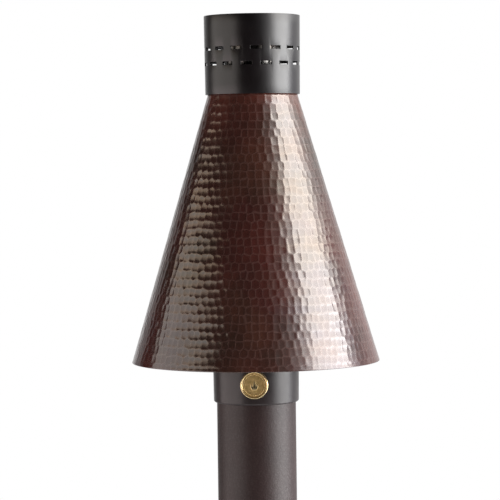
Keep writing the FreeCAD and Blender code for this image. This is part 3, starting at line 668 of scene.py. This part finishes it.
def wind_guard():
    """The flared sleeve: a flat strip with its slots cut, bent round, given its wall and its edges broken."""
    height = GUARD_TOP - GUARD_FOOT
    pitch = TURN / SLOT_COUNT
    half = SLOT_LENGTH / GUARD_RADIUS / 2
    near, far = half, pitch / 2 - half
    columns = []
    for k in range(SLOT_COUNT):
        for step in (-near, -far, -far / 2, 0, far / 2, far, near):
            columns.append(k * pitch + step)
        for step in (0.25, 0.5, 0.75):
            columns.append(k * pitch + near + (pitch - 2 * near) * step)
    columns = sorted(columns)
    columns.append(columns[0] + TURN)
    levels = [0, 10 * MM, 20 * MM]
    for row in (SLOT_LOW, SLOT_HIGH):
        levels += [row - SLOT_HEIGHT / 2, row + SLOT_HEIGHT / 2]
    levels += [56 * MM, 66 * MM, height]
    bm = bmesh.new()
    verts = [bm.verts.new((a, 0, levels[0])) for a in columns]
    row = [bm.edges.new(pair) for pair in zip(verts, verts[1:])]
    for low, high in zip(levels, levels[1:]):
        made = bmesh.ops.extrude_edge_only(bm, edges=row)["geom"]
        bmesh.ops.translate(bm, vec=(0, 0, high - low), verts=verts_of(made))
        row = [edge for edge in edges_of(made) if abs(edge.verts[0].co.z - edge.verts[1].co.z) < 1e-7]
    slots = []
    for face in bm.faces:
        centre = face.calc_center_median()
        for level, shift in ((SLOT_HIGH, 0), (SLOT_LOW, pitch / 2)):
            offset = (centre.x - shift + pitch / 2) % pitch - pitch / 2
            if abs(centre.z - level) < SLOT_HEIGHT / 2 and abs(offset) < half:
                slots.append(face)
    bmesh.ops.delete(bm, geom=slots, context="FACES")
    for vert in bm.verts:
        angle = vert.co.x + SLOT_PHASE - math.pi / 2
        radius = GUARD_RADIUS + GUARD_FLARE * vert.co.z / height
        vert.co = (radius * math.cos(angle), radius * math.sin(angle), GUARD_FOOT + vert.co.z)
    bmesh.ops.remove_doubles(bm, verts=bm.verts, dist=1e-6)
    bmesh.ops.recalc_face_normals(bm, faces=bm.faces)
    middle = max(bm.faces, key=lambda f: f.calc_area())
    outwards = middle.normal.dot(Vector((middle.calc_center_median().x, middle.calc_center_median().y,
        0))) > 0
    bmesh.ops.solidify(bm, geom=bm.faces[:], thickness=GUARD_WALL if outwards else -GUARD_WALL)
    bmesh.ops.recalc_face_normals(bm, faces=bm.faces)
    soften(bm, 0.35 * MM, 2, 40)
    for vert in bm.verts:
        vert.co.z = min(max(vert.co.z, GUARD_FOOT), GUARD_TOP)
    return finished("slotted_guard", bm, BLACK, "shade", "wind_guard")


def neck_ring():
    """The steel ring that fills the space between the cone's neck and the guard."""
    low, high = span("neck_ring")[:2]
    gap = 0.15 * MM

    def guard_inside(z):
        return GUARD_RADIUS - GUARD_WALL + GUARD_FLARE * (z - GUARD_FOOT) / (GUARD_TOP - GUARD_FOOT)

    profile = [(cone_outside(low) + gap, low), (guard_inside(low), low), (guard_inside(high), high),
               (cone_outside(high) + gap, high)]
    return finished("neck_ring_steel", soften(turned(profile, 96), 0.25 * MM), BLACK_STEEL, "shade",
        "neck_ring")


def neck_screw():
    """A pan-head screw with a cross recess, driven outwards."""
    height = sum(span("neck_screws")[:2]) / 2
    head, shank = 2.8 * MM, 1.5 * MM
    seat = cone_outside(height) - LEVEL_WALL - 0.85 * MM
    crown = seat - 1.9 * MM
    tip = GUARD_RADIUS - GUARD_WALL - 0.6 * MM
    side = arc(head - 0.95 * MM, seat - 0.95 * MM, 0.95 * MM, -90, 0, 5)
    side = [(0, crown)] + side + [(head, seat), (shank, seat)] + thread(shank, seat, tip, 0.7 * MM,
        0.25 * MM) + [(0, tip)]
    screw = turned(side, 32, False)
    slot_length, slot_width, twice_depth = 3.4 * MM, 0.7 * MM, 1.8 * MM
    for size in ((slot_length, slot_width, twice_depth), (slot_width, slot_length, twice_depth)):
        screw = combined(screw, box_mesh(size, (0, 0, crown)), "DIFFERENCE")
    return screw


def neck_screws():
    """The three screws from inside the neck into the ring."""
    height = sum(span("neck_screws")[:2]) / 2
    finished("pan_screws", ring_of(neck_screw, 3, 60, height), BLACK_STEEL, "shade", "neck_screws")


# ---- the post, its fitter and its base ----
def post():
    """The round steel post, with broken edges."""
    bore, edge = POST_RADIUS - 3.2 * MM, 0.6 * MM
    profile = [(bore, POST_FOOT + edge), (bore + edge, POST_FOOT), (POST_RADIUS - edge, POST_FOOT),
        (POST_RADIUS, POST_FOOT + edge)]
    profile += [(POST_RADIUS, POST_TOP - edge), (POST_RADIUS - edge, POST_TOP), (bore + edge, POST_TOP),
        (bore, POST_TOP - edge)]
    finished("post_tube", turned(profile, 144), POWDER, "stand", "post")


def fitter_outside(z):
    """The fitter's outer radius at height z."""
    return FITTER_RADIUS + FITTER_SLOPE * (z - FITTER_FOOT)


FITTER_SCREW_HEIGHT = FITTER_FOOT + 48 * MM
PAD_FRONT = fitter_outside(MEDALLION_HEIGHT) + 0.8 * MM


def fitter():
    """The cast cap on the post, with the medallion's pad, bosses for its screws and a hole for the nipple."""
    wide = fitter_outside(DECK_TOP)
    profile = [(SOCKET_BORE, FITTER_FOOT + 0.4 * MM), (SOCKET_BORE + 0.3 * MM, FITTER_FOOT)]
    profile += arc(FITTER_RADIUS - 2 * MM, FITTER_FOOT + 2 * MM, 2 * MM, -90, 0, 6)
    profile += arc(wide - 3 * MM, DECK_TOP - 3 * MM, 3 * MM, 0, 90, 6)
    profile += [(8.75 * MM, DECK_TOP), (8.75 * MM, POST_TOP), (SOCKET_BORE, POST_TOP)]
    back = PAD_FRONT
    pad = turned([(0, POST_RADIUS + MM), (12.6 * MM, POST_RADIUS + MM), (12.6 * MM, back - 1.0 * MM)]
                 + arc(12.9 * MM, back, 1.1 * MM, 270, 180, 3) + [(11.8 * MM, back), (0, back)], 64, False)
    face = fitter_outside(FITTER_SCREW_HEIGHT) + 3 * MM

    def boss():
        side = arc(9.6 * MM, face - 1.4 * MM, 2.9 * MM, 252, 180, 5)
        return turned([(0, POST_RADIUS + MM), (8.6 * MM, POST_RADIUS + MM)] + side
            + arc(5.3 * MM, face - 0.7 * MM, 0.7 * MM, 0, 90, 3)
                      + [(0, face)], 40, False)

    bosses = ring_of(boss, 3, 60, FITTER_SCREW_HEIGHT)
    whole = joined(turned(profile, 144), moved(pad, to_front(MEDALLION_HEIGHT)), bosses)
    finished("cast_fitter", whole, BRONZE, "stand", "fitter")


def teardrop(width, height, lean, foot):
    """A rounded tongue of flame in low relief, that leans and comes to a point."""
    bm = bmesh.new()
    bmesh.ops.create_uvsphere(bm, u_segments=20, v_segments=12, radius=1.0)
    for vert in bm.verts:
        up = (vert.co.y + 1) / 2
        vert.co = (vert.co.x * width / 2 * (1 - up) ** 0.45 * 1.25 + lean * up * up * height,
                   foot + up * height, vert.co.z * 0.5 * MM * (1 - up) ** 0.3)
    return tidied(bm)


def medallion():
    """The cast disc: a rolled rim, a ring of beads inside a fine line, and three tongues of flame."""
    radius = 13.2 * MM
    back = PAD_FRONT
    front = back + 3 * MM
    field = front - 0.9 * MM
    side = arc(radius - 0.9 * MM, field, 0.9 * MM, 0, 180, 12)
    line = [(8.7 * MM, field), (8.6 * MM, field + 0.25 * MM), (8.3 * MM, field + 0.25 * MM),
        (8.2 * MM, field)]
    outline = [(0, back), (radius - 0.3 * MM, back), (radius, back + 0.3 * MM)] + side + line + [(0, field)]
    disc = turned(outline, 144, False)
    parts = [disc]
    for k in range(42):
        bead = bmesh.new()
        bmesh.ops.create_icosphere(bead, subdivisions=2, radius=0.5 * MM)
        turn = TURN * k / 42
        bmesh.ops.translate(bead, vec=(10.0 * MM * math.cos(turn), 10.0 * MM * math.sin(turn), field),
            verts=bead.verts)
        parts.append(bead)
    for shape in ((4.2, 10.4, 0.05, -5.6), (3.0, 6.6, 0.36, -5.0), (3.0, 6.6, -0.36, -5.0)):
        flame = teardrop(shape[0] * MM, shape[1] * MM, shape[2], shape[3] * MM)
        shift = (0.0, 1.6 * MM, -1.6 * MM)[len(parts) - 43]
        bmesh.ops.translate(flame, vec=(shift, 0, field), verts=flame.verts)
        parts.append(flame)
    whole = joined(*parts)
    relief = whole.verts.layers.float.new("relief")
    for vert in whole.verts:
        vert[relief] = min(max((vert.co.z - field) / (0.45 * MM), 0), 1)
    finished("seal_disc", moved(whole, to_front(MEDALLION_HEIGHT)), SEAL_BRASS, "stand", "medallion")


def set_screw():
    """A socket set screw with a cup point and a hexagon socket."""
    radius, key = 3.175 * MM, 3.175 * MM
    low, high = POST_RADIUS, POST_RADIUS + 8 * MM
    corner = key / math.sqrt(3)
    side = [(0, low + 0.8 * MM), (1.3 * MM, low), (1.7 * MM, low)]
    side += thread(radius, low + 1.0 * MM, high - 0.5 * MM, 1.1 * MM, 0.35 * MM)
    side += [(radius - 0.35 * MM, high), (corner + 0.2 * MM, high), (corner, high - 0.15 * MM),
        (corner, high - 3 * MM), (0, high - 3.6 * MM)]
    return six_flats(turned(side, 48, False), key)


def set_screws():
    """The set screws that hold the fitter on the post and the post in the flange."""
    finished("fitter_set_screws", ring_of(set_screw, 3, 60, FITTER_SCREW_HEIGHT), BLACK_STEEL, "stand",
        "fitter_screws")
    finished("base_set_screws", ring_of(set_screw, 3, 0, POST_FOOT + 28 * MM), BLACK_STEEL, "stand",
        "base_screws")


ANCHOR_HOLE = 5.6 * MM
BOLT_CIRCLE = 69.85 * MM


def base_flange():
    """The cast flange with its socket and its anchor holes."""
    hub = SOCKET_BORE + 7 * MM
    top = POST_FOOT + 45 * MM
    profile = [(13 * MM, 0), (FLANGE_RADIUS - 0.8 * MM, 0), (FLANGE_RADIUS, 0.8 * MM)]
    profile += arc(FLANGE_RADIUS - 2 * MM, POST_FOOT - 2 * MM, 2 * MM, 0, 90, 5)
    profile += arc(hub + 6 * MM, POST_FOOT + 6 * MM, 6 * MM, 270, 180, 8)
    profile += arc(hub - 1.5 * MM, top - 1.5 * MM, 1.5 * MM, 0, 90, 4)
    profile += [(SOCKET_BORE + 0.5 * MM, top), (SOCKET_BORE, top - 0.5 * MM), (SOCKET_BORE, POST_FOOT),
        (13 * MM, POST_FOOT)]
    blank = turned(profile, 128)
    holes = pins(ANCHOR_HOLE, 40 * MM, 40, BOLT_CIRCLE, 4, 0.5, 0)
    finished("cast_flange", combined(blank, joined(*holes), "DIFFERENCE"), COATED_IRON, "stand",
        "base_flange")


def base_cover():
    """The spun bell over the flange, with a rolled bead round its foot and a rounded throat."""
    wall, skirt = 1.6 * MM, 14 * MM
    throat = POST_RADIUS + 0.6 * MM
    dome = COVER_TOP - 8 * MM
    half = math.sqrt(0.5)

    def bell(rim, neck, crown):
        through = (neck + (rim - neck) * half, skirt + (crown - skirt) * half)
        return arc_through((rim, skirt), through, (neck, crown), 20)

    bead = arc(COVER_RADIUS - wall, wall, wall, 0, -230, 10)
    inside = list(reversed(bell(COVER_RADIUS - wall, throat, dome - wall)))
    profile = bell(COVER_RADIUS, throat + wall, dome) + arc(throat + wall / 2, COVER_TOP - wall / 2,
        wall / 2, 0, 180, 5)
    profile += inside + [(COVER_RADIUS - wall, 4.5 * MM)] + list(reversed(bead)) + [(COVER_RADIUS,
        skirt * 0.6)]
    finished("spun_cover", turned(profile, 160), POWDER, "cover", "base_cover")


# ---- gas line ----
INLET_TOP = span("inlet_fitting")[1]
UNION_FOOT, UNION_TOP = span("supply_union")[0] + ENGAGEMENT, span("supply_union")[1]
VALVE_FOOT, VALVE_TOP = span("valve_body")[0], span("valve_cap")[1]
CAP_FOOT = VALVE_TOP - 15 * MM
TO_VALVE = to_front(BALL_HEIGHT)
VALVE_FLATS = 26 * MM
POCKET = 9.2 * MM
PORT = 5.5 * MM
INLET_FLATS = 32 * MM
INLET_BORE, INLET_DEPTH = 9.13 * MM, 16 * MM
FLARE_DEPTH, FLARE_NUT_LENGTH = 8.4 * MM, 22 * MM


def gas_line():
    """Inlet, tube with its flare nuts, union, nipple and its locknuts, from the ground up to the valve."""
    low, hex_top = MM, POST_FOOT + 12 * MM
    side = [(13 * MM, low), (13 * MM, POST_FOOT)] + nut_side(INLET_FLATS, POST_FOOT, hex_top)
    side += thread(FLARE_RADIUS, hex_top, INLET_TOP - 2 * MM)
    side += [(TUBE_RADIUS, INLET_TOP), (TUBE_BORE, INLET_TOP), (TUBE_BORE, low + INLET_DEPTH),
        (INLET_BORE, low + INLET_DEPTH), (INLET_BORE, low)]
    inlet = six_flats(turned(side, 96), INLET_FLATS, (POST_FOOT, hex_top))
    finished("inlet_body", inlet, BRASS, "stand", "inlet_fitting")

    def flare_nut():
        flat_top, mouth = 14 * MM, FLARE_DEPTH
        outside = nut_side(NUT_FLATS, 0, flat_top) + arc(TUBE_RADIUS + 0.9 * MM, FLARE_NUT_LENGTH - 0.8 * MM,
            0.8 * MM, 0, 90, 3)
        inside = [(TUBE_RADIUS + 0.1 * MM, FLARE_NUT_LENGTH), (TUBE_RADIUS + 0.1 * MM, mouth),
            (FLARE_RADIUS, mouth), (FLARE_RADIUS, 0)]
        return six_flats(turned(outside + inside, 48), NUT_FLATS, (0, flat_top))

    lower = moved(flare_nut(), Matrix.Translation((0, 0, INLET_TOP - FLARE_DEPTH)))
    upper = moved(flare_nut(), Matrix.Translation((0, 0, UNION_FOOT - ENGAGEMENT
        + FLARE_DEPTH)) @ Matrix.Rotation(math.pi, 4, "X"))
    finished("tube_nuts", joined(lower, upper), BRASS, "stand", "flare_nuts")
    tube_low, tube_high = span("gas_tube")[:2]
    tube = turned([(TUBE_BORE, tube_low), (TUBE_RADIUS, tube_low), (TUBE_RADIUS, tube_high),
        (TUBE_BORE, tube_high)], 48)
    finished("supply_tube", tube, TUBE_COPPER, "stand", "gas_tube")
    side = thread(FLARE_RADIUS, UNION_FOOT - ENGAGEMENT, UNION_FOOT) + nut_side(NUT_FLATS, UNION_FOOT,
        UNION_TOP)
    side += [(PIPE_RADIUS, UNION_TOP), (PIPE_RADIUS, UNION_TOP - ENGAGEMENT),
        (TUBE_BORE, UNION_TOP - ENGAGEMENT)]
    side += [(TUBE_BORE, UNION_FOOT - ENGAGEMENT)]
    union = six_flats(turned(side, 96), NUT_FLATS, (UNION_FOOT, UNION_TOP))
    finished("union_body", union, BRASS, "stand", "supply_union")
    low, high = span("deck_nipple")[:2]
    finished("threaded_nipple", pipe(low, high, (high - low) / 2, (high - low) / 2), ZINC, "stand",
        "deck_nipple")
    low, high = span("deck_locknuts")[:2]
    nuts = joined(nut(NUT_FLATS, PIPE_RADIUS, low, POST_TOP), nut(NUT_FLATS, PIPE_RADIUS, DECK_TOP, high))
    finished("nipple_locknuts", nuts, ZINC, "stand", "deck_locknuts")


def valve():
    """The ball valve: body, cap, seats, ball, stem and packing nut."""
    hex_top = VALVE_FOOT + ENGAGEMENT
    waist = 15 * MM
    side = nut_side(VALVE_FLATS, VALVE_FOOT, hex_top) + arc(waist - 1.5 * MM, hex_top + 1.5 * MM, 1.5 * MM,
        -90, 0, 4)
    side += arc(waist - MM, CAP_FOOT - MM, MM, 0, 90, 4)
    side += [(POCKET, CAP_FOOT), (POCKET, BALL_HEIGHT - POCKET), (PORT, BALL_HEIGHT - POCKET),
        (PORT, hex_top)]
    side += [(PIPE_RADIUS, hex_top), (PIPE_RADIUS, VALVE_FOOT)]
    body = six_flats(turned(side, 96), VALVE_FLATS, (VALVE_FOOT, hex_top))
    bore = STEM_RADIUS + 0.05 * MM
    boss_side = [(bore, 9.6 * MM), (12 * MM, 9.6 * MM)] + arc(11.3 * MM, 17.3 * MM, 2.8 * MM, 270, 180, 5)
    boss_side += arc(8 * MM, 20.5 * MM, 0.5 * MM, 0, 90, 3) + [(bore, 21 * MM)]
    boss = moved(turned(boss_side, 48), TO_VALVE)
    finished("valve_casting", joined(body, boss), BRASS, "stand", "valve_body")
    side = nut_side(VALVE_FLATS, CAP_FOOT, VALVE_TOP) + [(PIPE_RADIUS, VALVE_TOP),
        (PIPE_RADIUS, VALVE_TOP - ENGAGEMENT)]
    side += [(PORT, VALVE_TOP - ENGAGEMENT), (PORT, BALL_HEIGHT + POCKET), (POCKET, BALL_HEIGHT + POCKET),
        (POCKET, CAP_FOOT)]
    cap = six_flats(turned(side, 96), VALVE_FLATS, (CAP_FOOT, VALVE_TOP))
    finished("valve_end", cap, BRASS, "stand", "valve_cap")

    def seat(way):
        ends = [(math.sqrt((8.8 * MM) ** 2 - level ** 2), level) for level in (4.6 * MM, 5.3 * MM, 6.0 * MM,
            6.86 * MM)]
        ring = [(POCKET, 4.6 * MM)] + ends + [(PORT, POCKET), (POCKET, POCKET)]
        return turned([(r, BALL_HEIGHT + way * level) for r, level in ring], 48)

    finished("seat_rings", joined(seat(1), seat(-1)), SEALS, "stand", "valve_seats")
    edge = math.degrees(math.acos(PORT / BALL_RADIUS))
    ball = turned(arc(0, 0, BALL_RADIUS, -edge, edge, 20), 64)
    ball = moved(ball, Matrix.Translation((0, 0, BALL_HEIGHT)) @ Matrix.Rotation(math.pi / 2, 4, "Y"))
    finished("bored_ball", ball, CHROME, "valve_handle", "valve_ball")
    tail = LEVER_FRONT + 4.5 * MM
    stem_side = [(0, BALL_RADIUS), (STEM_RADIUS - 0.3 * MM, BALL_RADIUS),
        (STEM_RADIUS, BALL_RADIUS + 0.3 * MM)]
    stem_side += [(STEM_RADIUS, LEVER_BACK - 0.3 * MM), (STEM_RADIUS - 0.3 * MM, LEVER_BACK),
        (2 * MM, LEVER_BACK), (2 * MM, LEVER_FRONT)]
    stem_side += thread(STEM_SQUARE, LEVER_FRONT, tail - 0.4 * MM, 0.8 * MM,
        0.3 * MM) + [(STEM_SQUARE - 0.6 * MM, tail), (0, tail)]
    square = box_mesh((2 * STEM_SQUARE, 2 * STEM_SQUARE, 3 * MM), (0, 0, (LEVER_BACK + LEVER_FRONT) / 2))
    tongue = box_mesh((6 * MM, 3.2 * MM, 2.2 * MM), (0, 0, BALL_RADIUS - 0.9 * MM))
    stem = moved(joined(turned(stem_side, 48, False), square, tongue), TO_VALVE)
    finished("stem", stem, BRASS, "valve_handle", "valve_stem")
    packing = moved(nut(14 * MM, bore, 21 * MM, 27 * MM), TO_VALVE)
    finished("gland_nut", packing, BRASS, "stand", "packing_nut")


def stadium(half, low, high, length, steps=24):
    """A flat bar with a round end, from the Z axis out along X."""
    bm = bmesh.new()
    bmesh.ops.create_circle(bm, cap_ends=True, segments=2 * steps, radius=half)
    for vert in bm.verts:
        vert.co.z = low
        vert.co.x += length if vert.co.x > 1e-7 else 0
    made = bmesh.ops.extrude_face_region(bm, geom=bm.faces[:])["geom"]
    bmesh.ops.translate(bm, vec=(0, 0, high - low), verts=verts_of(made))
    return tidied(bm)


def lever():
    """The flat handle on the stem's square, its vinyl sleeve and its nut."""
    half, length = 5.5 * MM, 42 * MM
    blade = stadium(half, LEVER_BACK + 0.1 * MM, LEVER_FRONT - 0.1 * MM, length)
    hub = turned([(0, LEVER_BACK), (8.5 * MM, LEVER_BACK), (8.5 * MM, LEVER_FRONT), (0, LEVER_FRONT)], 48,
        False)
    plate = combined(blade, hub, "UNION")
    hole = box_mesh((2 * STEM_SQUARE, 2 * STEM_SQUARE, 8 * MM), (0, 0, LEVER_BACK))
    plate = soften(combined(plate, hole, "DIFFERENCE"), 0.35 * MM)
    finished("lever_blade", moved(plate, TO_VALVE), ZINC, "valve_handle", "valve_lever")
    wall = 1.3 * MM
    sleeve = stadium(half + wall, LEVER_BACK - wall, LEVER_FRONT + wall, length)
    sleeve = combined(sleeve, stadium(half, LEVER_BACK, LEVER_FRONT, length), "DIFFERENCE")
    start = length + half - 31 * MM
    cut = bmesh.ops.bisect_plane(sleeve, geom=sleeve.verts[:] + sleeve.edges[:] + sleeve.faces[:],
        plane_co=(start, 0, 0),
                                 plane_no=(-1, 0, 0), clear_outer=True)["geom_cut"]
    bmesh.ops.bridge_loops(sleeve, edges=edges_of(cut))
    soften(tidied(sleeve), 0.9 * MM, 4, 60)
    finished("vinyl_sleeve", moved(tidied(sleeve), TO_VALVE), GRIP, "valve_handle", "lever_grip")
    small = moved(nut(9 * MM, STEM_SQUARE, LEVER_FRONT, LEVER_FRONT + 3.5 * MM), TO_VALVE)
    finished("stem_nut", small, ZINC, "valve_handle", "lever_nut")


def carrier():
    """The riser pipe, and the plate with three arms that the cone sits on, between its locknuts."""
    low, high = span("riser_pipe")[:2]
    finished("threaded_riser", pipe(low, high, ENGAGEMENT, high - span("carrier_locknuts")[0] + 6 * MM),
        ZINC, "stand", "riser_pipe")
    low, high, rim = span("shade_carrier")
    top_rim = 60 * MM
    bore = PIPE_RADIUS + 0.2 * MM
    plate = turned([(bore, low), (rim, low), (top_rim, high), (bore, high)], 96)
    windows = turned([(18 * MM, low - MM), (53 * MM, low - MM), (53 * MM, high + MM), (18 * MM, high + MM)],
        96)
    arms = []
    for k in range(3):
        arm = box_mesh((60 * MM, 11 * MM, 8 * MM), (30 * MM, 0, (low + high) / 2))
        arms.append(moved(arm, Matrix.Rotation(math.radians(90 + 120 * k), 4, "Z")))
    for arm in arms:
        windows = combined(windows, arm, "DIFFERENCE")
    plate = soften(combined(plate, windows, "DIFFERENCE"), 0.3 * MM)
    finished("three_arm_plate", plate, ZINC, "stand", "shade_carrier")
    nut_low, nut_high = span("carrier_locknuts")[:2]
    nuts = joined(nut(NUT_FLATS, PIPE_RADIUS, nut_low, low), nut(NUT_FLATS, PIPE_RADIUS, high, nut_high))
    finished("plate_locknuts", nuts, ZINC, "stand", "carrier_locknuts")


def burner():
    """The deep stainless can, its ported cap and its jet."""
    foot, rim, radius = span("burner_can")
    wall, boss = 1.5 * MM, 13 * MM
    flare, shoulder = foot + 14 * MM, foot + VALVE_FLATS
    profile = [(PIPE_RADIUS, foot), (boss - 0.5 * MM, foot), (boss, foot + 0.5 * MM), (boss, flare - MM),
        (boss + 0.6 * MM, flare + 0.3 * MM)]
    profile += [(radius - 0.8 * MM, shoulder - 0.9 * MM), (radius, shoulder + 0.8 * MM), (radius, rim),
        (radius - wall, rim)]
    profile += [(radius - wall, shoulder + wall), (boss - wall, flare + wall), (4.5 * MM, flare + wall),
        (4.5 * MM, foot + ENGAGEMENT)]
    profile += [(PIPE_RADIUS, foot + ENGAGEMENT)]
    finished("deep_can", turned(profile, 96), STAINLESS, "stand", "burner_can")
    cap_foot, cap_top = span("burner_cap")[:2]
    spigot = radius - wall
    side = [(0, rim), (spigot - wall, rim), (spigot - wall, cap_foot), (spigot, cap_foot), (spigot, rim),
        (radius, rim)]
    side += arc(radius - MM, cap_top - MM, MM, 0, 90, 4) + [(0, cap_top)]
    lid = turned(side, 96, False)
    ports = []
    for circle, count in ((0, 1), (12 * MM, 11), (19.5 * MM, 18)):
        ports += pins(1.4 * MM, 10 * MM, 20, circle, count, 0, cap_top)
    finished("ported_cap", combined(lid, joined(*ports), "DIFFERENCE"), STAINLESS, "stand", "burner_cap")
    jet_low, jet_high = span("gas_jet")[:2]
    hex_low = jet_high - 4 * MM
    side = thread(4.5 * MM, jet_low, hex_low, 1.0 * MM, 0.3 * MM) + nut_side(12 * MM, hex_low, jet_high)
    side += [(0.65 * MM, jet_high), (0.65 * MM, jet_low)]
    finished("brass_jet", six_flats(turned(side, 48), 12 * MM, (hex_low, jet_high)), BRASS, "stand",
        "gas_jet")


# ---- camera, lights and floor ----
LENS = 161.0
CAMERA_DISTANCE = 2.153
CAMERA_HEIGHT = 1.714
CAMERA_AZIMUTH = 2.5
CAMERA_PITCH = 2.507
CAMERA_YAW = 0.117
CAMERA_ROLL = -0.72


def camera():
    """The camera, level with the wind guard."""
    turn = math.radians(CAMERA_AZIMUTH)
    data = bpy.data.cameras.new("camera")
    data.lens = LENS
    data.sensor_width = 36
    data.clip_end = 100
    ob = bpy.data.objects.new("camera", data)
    ob.location = (CAMERA_DISTANCE * math.sin(turn), -CAMERA_DISTANCE * math.cos(turn), CAMERA_HEIGHT)
    look = (Matrix.Rotation(turn + math.radians(CAMERA_YAW), 4, "Z")
            @ Matrix.Rotation(math.radians(90 - CAMERA_PITCH), 4, "X")
            @ Matrix.Rotation(math.radians(CAMERA_ROLL), 4, "Z"))
    ob.rotation_euler = look.to_euler()
    bpy.context.scene.collection.objects.link(ob)
    bpy.context.scene.camera = ob


def panel(name, first, last, distance, low, high, glow, colour=(1, 1, 1)):
    """A soft box of a given radiance that faces the post between two azimuths, from the front towards +X."""
    turn = math.radians((first + last) / 2)
    width = 2 * distance * math.tan(math.radians(last - first) / 2)
    data = bpy.data.lights.new(name, "AREA")
    data.shape = "RECTANGLE"
    data.size = width
    data.size_y = high - low
    data.energy = glow * math.pi * width * (high - low)
    data.color = colour
    ob = bpy.data.objects.new(name, data)
    ob.location = (distance * math.sin(turn), -distance * math.cos(turn), (low + high) / 2)
    ob.rotation_euler = (math.pi / 2, 0, turn)
    ob.visible_camera = False
    bpy.context.scene.collection.objects.link(ob)


def studio():
    """White paper behind, a faint sky, soft boxes round the shade and a pale floor."""
    scene = bpy.context.scene
    scene.view_settings.view_transform = "Standard"
    world = bpy.data.worlds.new("studio")
    world.use_nodes = True
    tree = world.node_tree
    sky = tree.nodes["Background"]
    sky.inputs["Color"].default_value = (1, 1, 1, 1)
    sky.inputs["Strength"].default_value = 0.03
    paper = add(tree, "Background", {"Color": (1, 1, 1, 1), "Strength": 1.0})
    seen = add(tree, "LightPath").outputs["Is Camera Ray"]
    blend = add(tree, "MixShader", {0: seen, 1: sky.outputs[0], 2: paper.outputs[0]})
    tree.links.new(blend.outputs[0], tree.nodes["World Output"].inputs["Surface"])
    scene.world = world
    panel("right_box", 58, 100, 1.6, 2.0, 3.4, 7.6, (1.0, 0.985, 0.965))
    panel("right_box_middle", 58, 100, 1.6, 1.45, 2.0, 10.0)
    panel("right_box_low", 64, 104, 1.6, 0.2, 1.45, 5.3)
    panel("right_edge", 100, 113, 1.6, 2.0, 3.4, 3.6)
    panel("right_edge_low", 100, 113, 1.6, 0.2, 2.0, 1.7, (0.92, 0.94, 1.0))
    panel("right_rear", 113, 131, 1.6, 2.0, 3.4, 1.5)
    panel("right_rear_low", 113, 131, 1.6, 0.2, 2.0, 0.6, (0.9, 0.93, 1.0))
    panel("front_low", -32, 32, 1.6, 0.2, 0.7, 0.4)
    panel("right_skirt", 48, 58, 1.6, 1.45, 3.4, 2.8)
    panel("right_skirt_low", 50, 64, 1.6, 0.2, 1.45, 1.8)
    panel("right_skirt_dim", 38, 48, 1.6, 1.6, 3.4, 0.8)
    panel("right_skirt_faint", 24, 38, 1.6, 1.6, 3.4, 0.2)
    panel("left_low", -109, -35, 1.9, 0.2, 1.6, 1.85, (1.0, 0.88, 0.86))
    panel("left_high", -109, -35, 1.9, 1.6, 2.3, 1.25, (1.0, 0.95, 0.89))
    panel("left_top", -109, -35, 1.9, 2.3, 2.44, 1.5, (1.0, 0.8, 0.62))
    panel("back_paper", 131, 209, 3.0, 0.1, 3.6, 0.75)
    panel("back_left", 209, 229, 3.0, 0.1, 3.6, 0.3)
    bm = bmesh.new()
    bmesh.ops.create_circle(bm, cap_ends=True, segments=128, radius=3.0)
    bmesh.ops.translate(bm, vec=(0, 0, -0.5 * MM), verts=bm.verts)
    mesh = bpy.data.meshes.new("floor")
    bm.to_mesh(mesh)
    bm.free()
    look = surface("floor_paper", Base_Color=(0.8, 0.8, 0.79, 1), Roughness=0.9)[0]
    mesh.materials.append(look)
    floor = bpy.data.objects.new("floor", mesh)
    scene.collection.objects.link(floor)


for make in (cone_shade, wind_guard, neck_ring, neck_screws, post, fitter, medallion, set_screws, base_flange,
             base_cover, gas_line, valve, lever, carrier, burner, camera, studio):
    make()
